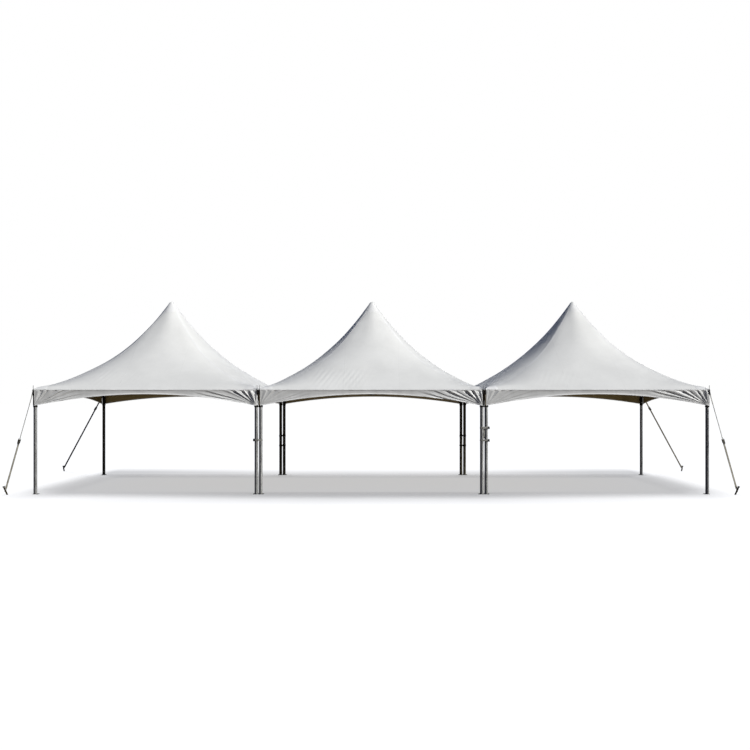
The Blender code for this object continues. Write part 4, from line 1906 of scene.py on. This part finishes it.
@dataclass
class Guys:
    """The straps that tie the four outer corners down, with their ratchets and stakes."""

    shop: Shop
    steel: Item
    winding: Item
    upper_width: dict[int, float] = field(default_factory=lambda: {-1: 0.025, 1: 0.044})
    lower_width: float = 0.050
    thick: float = 0.0022
    stake_r: float = 0.022
    head_r: float = 0.038
    head_thick: float = 0.022
    looks: dict[str, tuple[Woven, Woven]] = field(
        default_factory=lambda: {
            "rear_left": (DARK_WEBBING, DARK_WEBBING),
            "rear_right": (STAINED_WEBBING, STAINED_WEBBING),
        }
    )
    out: dict[int, tuple[float, float]] = field(default_factory=lambda: {-1: (0.70, 0.15), 1: (1.88, 1.50)})
    top: dict[int, tuple[float, float, float]] = field(
        default_factory=lambda: {-1: (0.09, 0.03, 0.23), 1: (0.04, 0.02, 0.19)}
    )

    def line(self, across: int, front: int) -> GuyLine:
        """Gives the places of one corner's strap.

        Args:
            across: -1 for the left end, 1 for the right.
            front: -1 for the front, 1 for the rear.

        Returns:
            The places.
        """
        bay = across * PITCH
        out, away = self.out[front]
        lean = self.top[front]
        foot = Vector((bay + across * (LEG_OFFSET + out), front * (LEG_OFFSET + away), 0.0))
        head = foot + Vector((across * lean[0], front * lean[1], lean[2]))
        bar = Vector((bay + across * BAR_SIDE, front * TIE_Y, BAR_Z))
        return GuyLine(bar, foot, head, 0.50 if front < 0 else 0.19)

    def strap(self, start: Vector, end: Vector, sideways: Vector, width: float, twist: float) -> Item:
        """Makes a taut strap that turns a little about itself on its way.

        Args:
            start: Its first end.
            end: Its second end.
            sideways: The direction of its width.
            width: Its width.
            twist: How far it turns on the way, in degrees.

        Returns:
            The strap.
        """
        along = (end - start).normalized()
        shares = [step / 32 for step in range(33)]
        angles = [math.radians(twist) * math.sin(share * math.tau) for share in shares]
        across = [Matrix.Rotation(angle, 3, along) @ sideways for angle in angles]
        return ribbon("strap", [start.lerp(end, share) for share in shares], across, width, self.thick)

    def loop(self, at: Vector, along: Vector, sideways: Vector, width: float, radius: float) -> Item:
        """Makes the sewn loop at a strap's end: round a bar at one point and back on itself.

        Args:
            at: Middle of what it goes round.
            along: From there along the strap.
            sideways: The direction of its width.
            width: Its width.
            radius: Radius of the bend.

        Returns:
            The loop.
        """
        normal = along.cross(sideways).normalized()
        wide = radius + self.thick
        legs = ((0.11, 1.9), (0.09, 1.9), (0.07, 2.2))
        path = [at + along * far + normal * self.thick * off / 2 for far, off in legs]
        path.append(at + along * 0.03 + normal * wide * 0.8)
        for step in range(9):
            angle = math.pi * step / 8
            path.append(at + (normal * math.cos(angle) - along * math.sin(angle)) * wide)
        path.append(at + along * 0.03 - normal * wide * 0.8)
        path += [at + along * far - normal * self.thick * off / 2 for far, off in reversed(legs)]
        return ribbon("loop", path, [sideways] * len(path), width, self.thick)

    def hanger(self, name: str, line: GuyLine, front: int) -> Item:
        """Models the flat hanger between the bar and the strap's upper loop.

        Args:
            name: Its name.
            line: The corner's places.
            front: -1 for the front, 1 for the rear.

        Returns:
            The hanger.
        """
        half = self.upper_width[front] / 2 + 0.006
        plate = start_block(name, (-half, -0.002, -0.092), (half, 0.002, 0.019))
        bevel_edges(plate, 0.013, 4, lambda middle, along: abs(along.y) > 0.9 and middle.z > 0.0)
        bevel_edges(plate, 0.006, 3, lambda middle, along: abs(along.y) > 0.9 and middle.z < 0.0)
        eye = start_round("eye", 0.0092, (0, -0.02, 0), (0, 0.02, 0), 24)
        slot = start_block("slot", (0.005 - half, -0.02, -0.080), (half - 0.005, 0.02, -0.064))
        cut(plate, eye, slot)
        soften(plate, 0.0007, 1)
        plate.data.transform(Matrix.Translation(line.bar) @ line.turn())
        return smooth(plate, 35.0)

    def stake(self, name: str, line: GuyLine) -> Item:
        """Models a forged stake: a shaft cut at the ground, and a head spread by the hammer.

        Args:
            name: Its name.
            line: The corner's places.

        Returns:
            The stake.
        """
        along = (line.head - line.foot).normalized()
        length = (line.head - line.foot).length
        neck = length - self.head_thick
        draw = random.Random(round(line.foot.x * 100.0))
        shaft = start_round(name, self.stake_r, (0, 0, -0.05), (0, 0, neck), 20)
        with editing(shaft):
            pick_faces(shaft, lambda middle, normal: normal.z > 0.9)
            for rise, grow in ((0.004, self.head_r / self.stake_r * 0.92), (0.008, 1.08), (0.008, 0.9)):
                bpy.ops.mesh.extrude_region_move(TRANSFORM_OT_translate={"value": (0.0, 0.0, rise)})
                bpy.ops.transform.resize(value=(grow, grow, 1.0), center_override=(0, 0, length))
            bpy.ops.mesh.inset(thickness=0.008, depth=0.002)
            for height in (0.05, 0.10, 0.15):
                slice_at((0, 0, height), (0, 0, 1))
        for vertex in shaft.data.vertices:
            rough = 0.0016 if vertex.co.z > neck else 0.0006
            vertex.co += Vector((draw.uniform(-rough, rough), draw.uniform(-rough, rough), 0.0))
        turn = along.to_track_quat("Z", "Y").to_matrix().to_4x4()
        shaft.data.transform(Matrix.Translation(line.foot) @ turn)
        with editing(shaft):
            bpy.ops.mesh.select_all(action="SELECT")
            bpy.ops.mesh.bisect(plane_co=(0, 0, 0), plane_no=(0, 0, 1), clear_inner=True, use_fill=True)
        return smooth(shaft, 45.0)

    def ring(self, name: str, line: GuyLine) -> Item:
        """Models the forged ring that joins the strap's lower loop to the stake.

        Args:
            name: Its name.
            line: The corner's places.

        Returns:
            The ring.
        """
        ring = start_torus(name, 0.045, 0.0055, (40, 10))
        with editing(ring):
            bpy.ops.mesh.select_all(action="SELECT")
            bpy.ops.transform.resize(value=(0.92, 1.12, 1.0))
        face = line.up.cross(line.sideways)
        turn = Matrix((face, line.up, face.cross(line.up))).transposed().to_4x4()
        ring.data.transform(Matrix.Translation(line.tie + line.up * 0.016) @ turn)
        return smooth(ring, 60.0)

    def make(self) -> list[Item]:
        """Makes, dresses and hands over the four guys.

        Returns:
            Their pieces.
        """
        made = []
        for corner, (across, front) in CORNERS.items():
            line = self.line(across, front)
            up, wide = line.up, line.sideways
            looks = self.looks.get(corner, (PALE_WEBBING, DARKER_LOWER_WEBBING))
            slot, hold = line.bar - up * 0.072, line.tie + up * 0.060
            narrow = self.upper_width[front]
            top = self.strap(slot - up * 0.020, line.middle + up * 0.022, wide, narrow, 4.0)
            upper = join(f"strap_upper_{corner}", [top, self.loop(slot, -up, wide, narrow, 0.004)])
            bottom = self.strap(line.middle - up * 0.044, hold + up * 0.020, wide, self.lower_width, 3.0)
            lower_loop = self.loop(hold, up, wide, self.lower_width, 0.006)
            lower = join(f"strap_lower_{corner}", [bottom, lower_loop])
            spot = Matrix.Translation(line.middle) @ line.turn()
            steel = copy_of(self.steel, f"ratchet_steel_{corner}", spot)
            winding = copy_of(self.winding, f"ratchet_winding_{corner}", spot)
            pieces = (
                (upper, looks[0], "webbing", "guy_strap_upper"),
                (lower, looks[1], "webbing", "guy_strap_lower"),
                (steel, RATCHET_STEEL, "ratchet", "guy_ratchet"),
                (winding, DARKER_LOWER_WEBBING, "ratchet", "guy_ratchet"),
                (self.hanger(f"hanger_{corner}", line, front), FITTING_STEEL, "fitting", "guy_strap_upper"),
                (self.stake(f"peg_{corner}", line), FORGED_BAR, "stake", "stake"),
                (self.ring(f"peg_ring_{corner}", line), FORGED_BAR, "stake", "stake"),
            )
            for piece, look, slot_name, node in pieces:
                self.shop.dress(piece, look)
                made.append(self.shop.hand_over(piece, slot_name, f"{node}_{corner}"))
        return made


@dataclass
class LegBands:
    """The webbing bands that tie each pair of inner legs together, with ratchets on the front ones."""

    shop: Shop
    steel: Item
    winding: Item
    width: float = 0.050
    thick: float = 0.0022
    tail_length: float = 0.26
    places: dict[str, tuple[int, int, float, bool]] = field(
        default_factory=lambda: {
            "front_left": (-1, -1, 1.47, True),
            "front_right": (1, -1, 1.46, True),
            "front_right_upper": (1, -1, 1.80, True),
            "rear_left": (-1, 1, 1.33, False),
            "rear_left_lower": (-1, 1, 1.00, False),
            "rear_right": (1, 1, 1.33, False),
            "rear_right_lower": (1, 1, 1.00, False),
        }
    )

    def loop(self, spot: Vector, layers: int) -> Item:
        """Makes a band drawn round two legs, with its end lapped over itself.

        Args:
            spot: Middle of the pair, at the band's height.
            layers: How many turns it takes.

        Returns:
            The band.
        """
        apart = PITCH / 2 - LEG_OFFSET
        path = []
        for step in range(48 * layers + 10):
            angle = math.tau * (step + 0.5) / 48
            radius = LEG_R + SEAT + self.thick / 2 + 0.0024 * step / 48
            side = math.copysign(apart, math.sin(angle))
            rise = 0.004 * math.sin(angle + 0.7)
            path.append(spot + Vector((side + radius * math.sin(angle), -radius * math.cos(angle), rise)))
        return ribbon("band", path, [Vector((0.0, 0.0, 1.0))] * len(path), self.width, self.thick)

    def tail(self, spot: Vector) -> Item:
        """Makes the loose end that hangs in front of the legs.

        Args:
            spot: Where it starts.

        Returns:
            The tail.
        """
        path, across = [], []
        for step in range(25):
            share = step / 24
            aside, forward = 0.008 * math.sin(share * 5.0), -0.010 * math.sin(share * math.pi)
            path.append(spot + Vector((aside, forward, -self.tail_length * share)))
            angle = 0.5 * math.sin(share * 2.4)
            across.append(Vector((math.cos(angle), math.sin(angle), 0.0)))
        return ribbon("tail", path, across, self.width * 0.9, self.thick)

    def make(self) -> list[Item]:
        """Makes, dresses and hands over the bands and their ratchets.

        Returns:
            Their pieces.
        """
        made = []
        reach = PITCH / 2 - LEG_OFFSET + LEG_R + 0.010 + SEAT
        for name, (across, front, height, has_ratchet) in self.places.items():
            spot = Vector((across * PITCH / 2, front * LEG_OFFSET, height))
            parts = [self.loop(spot, 1 if has_ratchet else 2)]
            if "upper" in name:
                # The upper strap's end hangs down between the two legs
                parts.append(self.tail(spot + Vector((0.0, -LEG_R * 0.5, -0.03))))
            band = self.shop.dress(join(f"band_{name}", parts), GREY_WEBBING if has_ratchet else DARK_WEBBING)
            made.append(self.shop.hand_over(band, "webbing", f"leg_band_{name}"))
            if not has_ratchet:
                continue
            # The strap runs through the ratchet along Y, its width upright and its handle away from the legs
            handle, width = Vector((across, 0.0, 0.0)), Vector((0.0, 0.0, 1.0))
            turn = Matrix((width, handle, width.cross(handle))).transposed().to_4x4()
            place = Matrix.Translation(spot + handle * reach) @ turn
            for pattern, look in ((self.steel, RATCHET_STEEL), (self.winding, DARK_WEBBING)):
                piece = self.shop.dress(copy_of(pattern, f"{pattern.name}_leg_{name}", place), look)
                made.append(self.shop.hand_over(piece, "ratchet", f"leg_ratchet_{name}"))
        return made


@dataclass
class Studio:
    """The floor, the light and the camera."""

    place: tuple[float, float, float] = (0.18, -27.0 - MIDDLE_Y, 2.62)
    lens: float = 42.43
    shift: tuple[float, float] = (-2.9 / 750.0, 22.6 / 750.0)
    key_from: tuple[float, float, float] = (0.695, -0.455, 0.56)
    key_strength: float = 4.05
    floor_glow: float = 0.533
    floor_light: float = 2.6
    bounce_light: float = 0.45
    side_light: float = 3.4
    rear_light: float = 2.0
    fill_light: float = 0.16
    shade: tuple[float, float, float] = (9.31, 3.05, 3.05)
    penumbra: tuple[float, float, float] = (0.50, 1.10, 1.10)

    def floor(self) -> Item:
        """Makes the pale floor, white to the camera and dim to everything else, with a painted shadow round
        the tent.

        Returns:
            The floor.
        """
        deselect()
        bpy.ops.mesh.primitive_plane_add(size=600.0, location=(0.0, 0.0, -0.001))
        item = named("studio_floor")
        p = Palette("matt_white_floor")
        seen = p.node("LightPath").outputs["Is Camera Ray"]
        cloud = p.spread(p.noise(p.place(), 4000.0), 0.3, 0.7, 0.0, 1.0)
        white = p.blend(cloud, linear("C4C4C4"), linear("CCCCCC"))
        # Painted shadow: the floor's glow is darkened in soft bands round the tent's outline in plan, which
        # shape the soft edge of the real shadow
        spot = p.node("SeparateXYZ", None, Vector=p.place())
        across = p.maths("ABSOLUTE", spot.outputs["X"])
        back = p.maths("ADD", spot.outputs["Y"], MIDDLE_Y + 0.15)
        front = p.maths("MULTIPLY", back, -1.0)
        edges = []
        for place, half, soft in zip((across, front, back), self.shade, self.penumbra):
            edges.append(p.maths("DIVIDE", p.maths("SUBTRACT", place, half), soft))
        # Towards the row's ends the painted shadow's front edge fades and its rear edge reaches further back
        endwards = p.spread(across, 2.7, 8.0, 0.0, 1.0)
        beyond = p.maths("SUBTRACT", edges[2], p.maths("MULTIPLY", endwards, 0.6))
        within = p.spread(edges[0], -0.3, 0.7, 1.0, 0.0)
        deep = p.spread(p.maths("MAXIMUM", p.maths("ADD", edges[1], 1.0), edges[2]), -0.3, 0.9, 1.0, 0.0)
        faded = p.maths("MULTIPLY", within, p.spread(endwards, 0.0, 1.0, 1.0, 0.1))
        deepened = p.maths("MULTIPLY", within, p.spread(endwards, 0.0, 1.0, 1.0, 1.35))
        falls = (
            (edges[0], edges[0], (-2.0, -0.4, 0.17, 0.0, 1.4), deep),
            (edges[1], edges[1], (-0.8, 0.2, 0.29, 0.6, 2.1), faded),
            (edges[2], beyond, (-1.0, 0.2, 0.29, 0.6, 2.1), deepened),
        )
        painted_shadow: NodeInput = 0.0
        for rise, fall, (start, full, peak, hold, end), share in falls:
            inner, outer = p.spread(rise, start, full, 0.0, peak), p.spread(fall, hold, end, 1.0, 0.0)
            band = p.maths("MULTIPLY", inner, outer)
            painted_shadow = p.maths("MAXIMUM", painted_shadow, p.maths("MULTIPLY", band, share))
        # The painted shadow is taken off the floor's glow, for the camera alone
        glow = p.maths("MULTIPLY", seen, p.maths("SUBTRACT", self.floor_glow, painted_shadow))
        p.feed(Base_Color=p.blend(seen, linear("3C3C3E"), white), Roughness=1.0, Specular_IOR_Level=0.0)
        p.feed(Emission_Color=(1.0, 1.0, 1.0, 1.0), Emission_Strength=glow)
        item.data.materials.append(p.material)
        return item

    def sun(self, name: str, direction: Point, strength: float, degrees: float, colour: str) -> Item:
        """Adds a far light.

        Args:
            name: Its name.
            direction: From the object towards the light.
            strength: Its strength.
            degrees: Its size in the sky, which softens its shadows.
            colour: Its colour.

        Returns:
            The light.
        """
        lamp = bpy.data.lights.new(name, "SUN")
        lamp.energy = strength
        lamp.angle = math.radians(degrees)
        lamp.color = linear(colour)[:3]
        item = bpy.data.objects.new(name, lamp)
        item.rotation_mode = "QUATERNION"
        item.rotation_quaternion = Vector(direction).to_track_quat("Z", "Y")
        bpy.context.scene.collection.objects.link(item)
        return item

    def light(self, floor: Item, posts: Sequence[Item]) -> None:
        """Adds the lamps and the surround, and says what each lamp falls on.

        Args:
            floor: The floor.
            posts: The posts, which a light from the side models.
        """
        key = self.sun("key", self.key_from, self.key_strength, 5.0, "FFFEFA")
        overhead = self.sun("overhead", (0.0, 0.12, 1.0), self.floor_light, 34.0, "FFFFFF")
        bounce = self.sun("bounce", (0.0, -0.35, -1.0), self.bounce_light, 70.0, "FFF3E0")
        aside = self.sun("aside", (0.93, -0.28, 0.25), self.side_light, 12.0, "FFFEFA")
        behind = self.sun("behind", (0.0, 1.0, 0.05), self.rear_light, 40.0, "F4F7FF")
        # Seen from the front it would only glare along the roofs' outlines
        behind.visible_glossy = False
        others = [floor, *posts]
        links = ((overhead, "INCLUDE", [floor]), (key, "EXCLUDE", others), (behind, "EXCLUDE", others))
        links += ((bounce, "EXCLUDE", [floor]), (aside, "INCLUDE", posts))
        for lamp, state, items in links:
            group = bpy.data.collections.new(f"{lamp.name}_receivers")
            for number, item in enumerate(items):
                group.objects.link(item)
                group.collection_objects[number].light_linking.link_state = state
            lamp.light_linking.receiver_collection = group
            if lamp is bounce:
                lamp.light_linking.blocker_collection = group
        world = bpy.data.worlds.new("surround")
        world.use_nodes = True
        bpy.context.scene.world = world
        tree = world.node_tree
        tree.nodes.clear()
        seen = add_node(tree, "ShaderNodeLightPath").outputs["Is Camera Ray"]
        white = add_node(tree, "ShaderNodeBackground", None, Color=(1.0, 1.0, 1.0, 1.0), Strength=1.0)
        fill = add_node(tree, "ShaderNodeBackground", None, Color=linear("8FA6DA"), Strength=self.fill_light)
        both = add_node(tree, "ShaderNodeMixShader", None, i0=seen, i1=fill.outputs[0], i2=white.outputs[0])
        add_node(tree, "ShaderNodeOutputWorld", None, Surface=both.outputs[0])

    def camera(self) -> None:
        """Places the camera where the photograph was taken from."""
        data = bpy.data.cameras.new("camera")
        data.lens = self.lens
        data.sensor_width = 36.0
        data.shift_x, data.shift_y = self.shift
        data.clip_end = 900.0
        item = bpy.data.objects.new("camera", data)
        item.location = self.place
        item.rotation_euler = (math.pi / 2, 0.0, 0.0)
        bpy.context.scene.collection.objects.link(item)
        bpy.context.scene.camera = item
        bpy.context.scene.view_settings.view_transform = "Standard"


def main() -> None:
    """Builds the studio and every sub-assembly in order."""
    shop = Shop()
    studio = Studio()
    studio.camera()
    floor = studio.floor()
    ratchet = Ratchet()
    steel, winding = ratchet.steel(), ratchet.winding()
    builders = [Canopy(shop, bay, centre, number + 1) for number, (bay, centre) in enumerate(BAYS.items())]
    builders += [Posts(shop), EaveFrame(shop), KingPoles(shop)]
    builders += [Guys(shop, steel, winding), LegBands(shop, steel, winding)]
    total = 0
    posts: list[Item] = []
    for builder in builders:
        pieces = builder.make()
        if isinstance(builder, Posts):
            posts = pieces
        total += sum(len(piece.data.polygons) for piece in pieces)
        log.info("%s: %d pieces", type(builder).__name__, len(pieces))
        for piece in pieces:
            log.info("  %s: %d faces", piece.name, len(piece.data.polygons))
    drop(steel, winding)
    studio.light(floor, posts)
    log.info("%d pieces and %d faces in all", len(shop.handed), total)


if __name__ == "__main__":
    main()
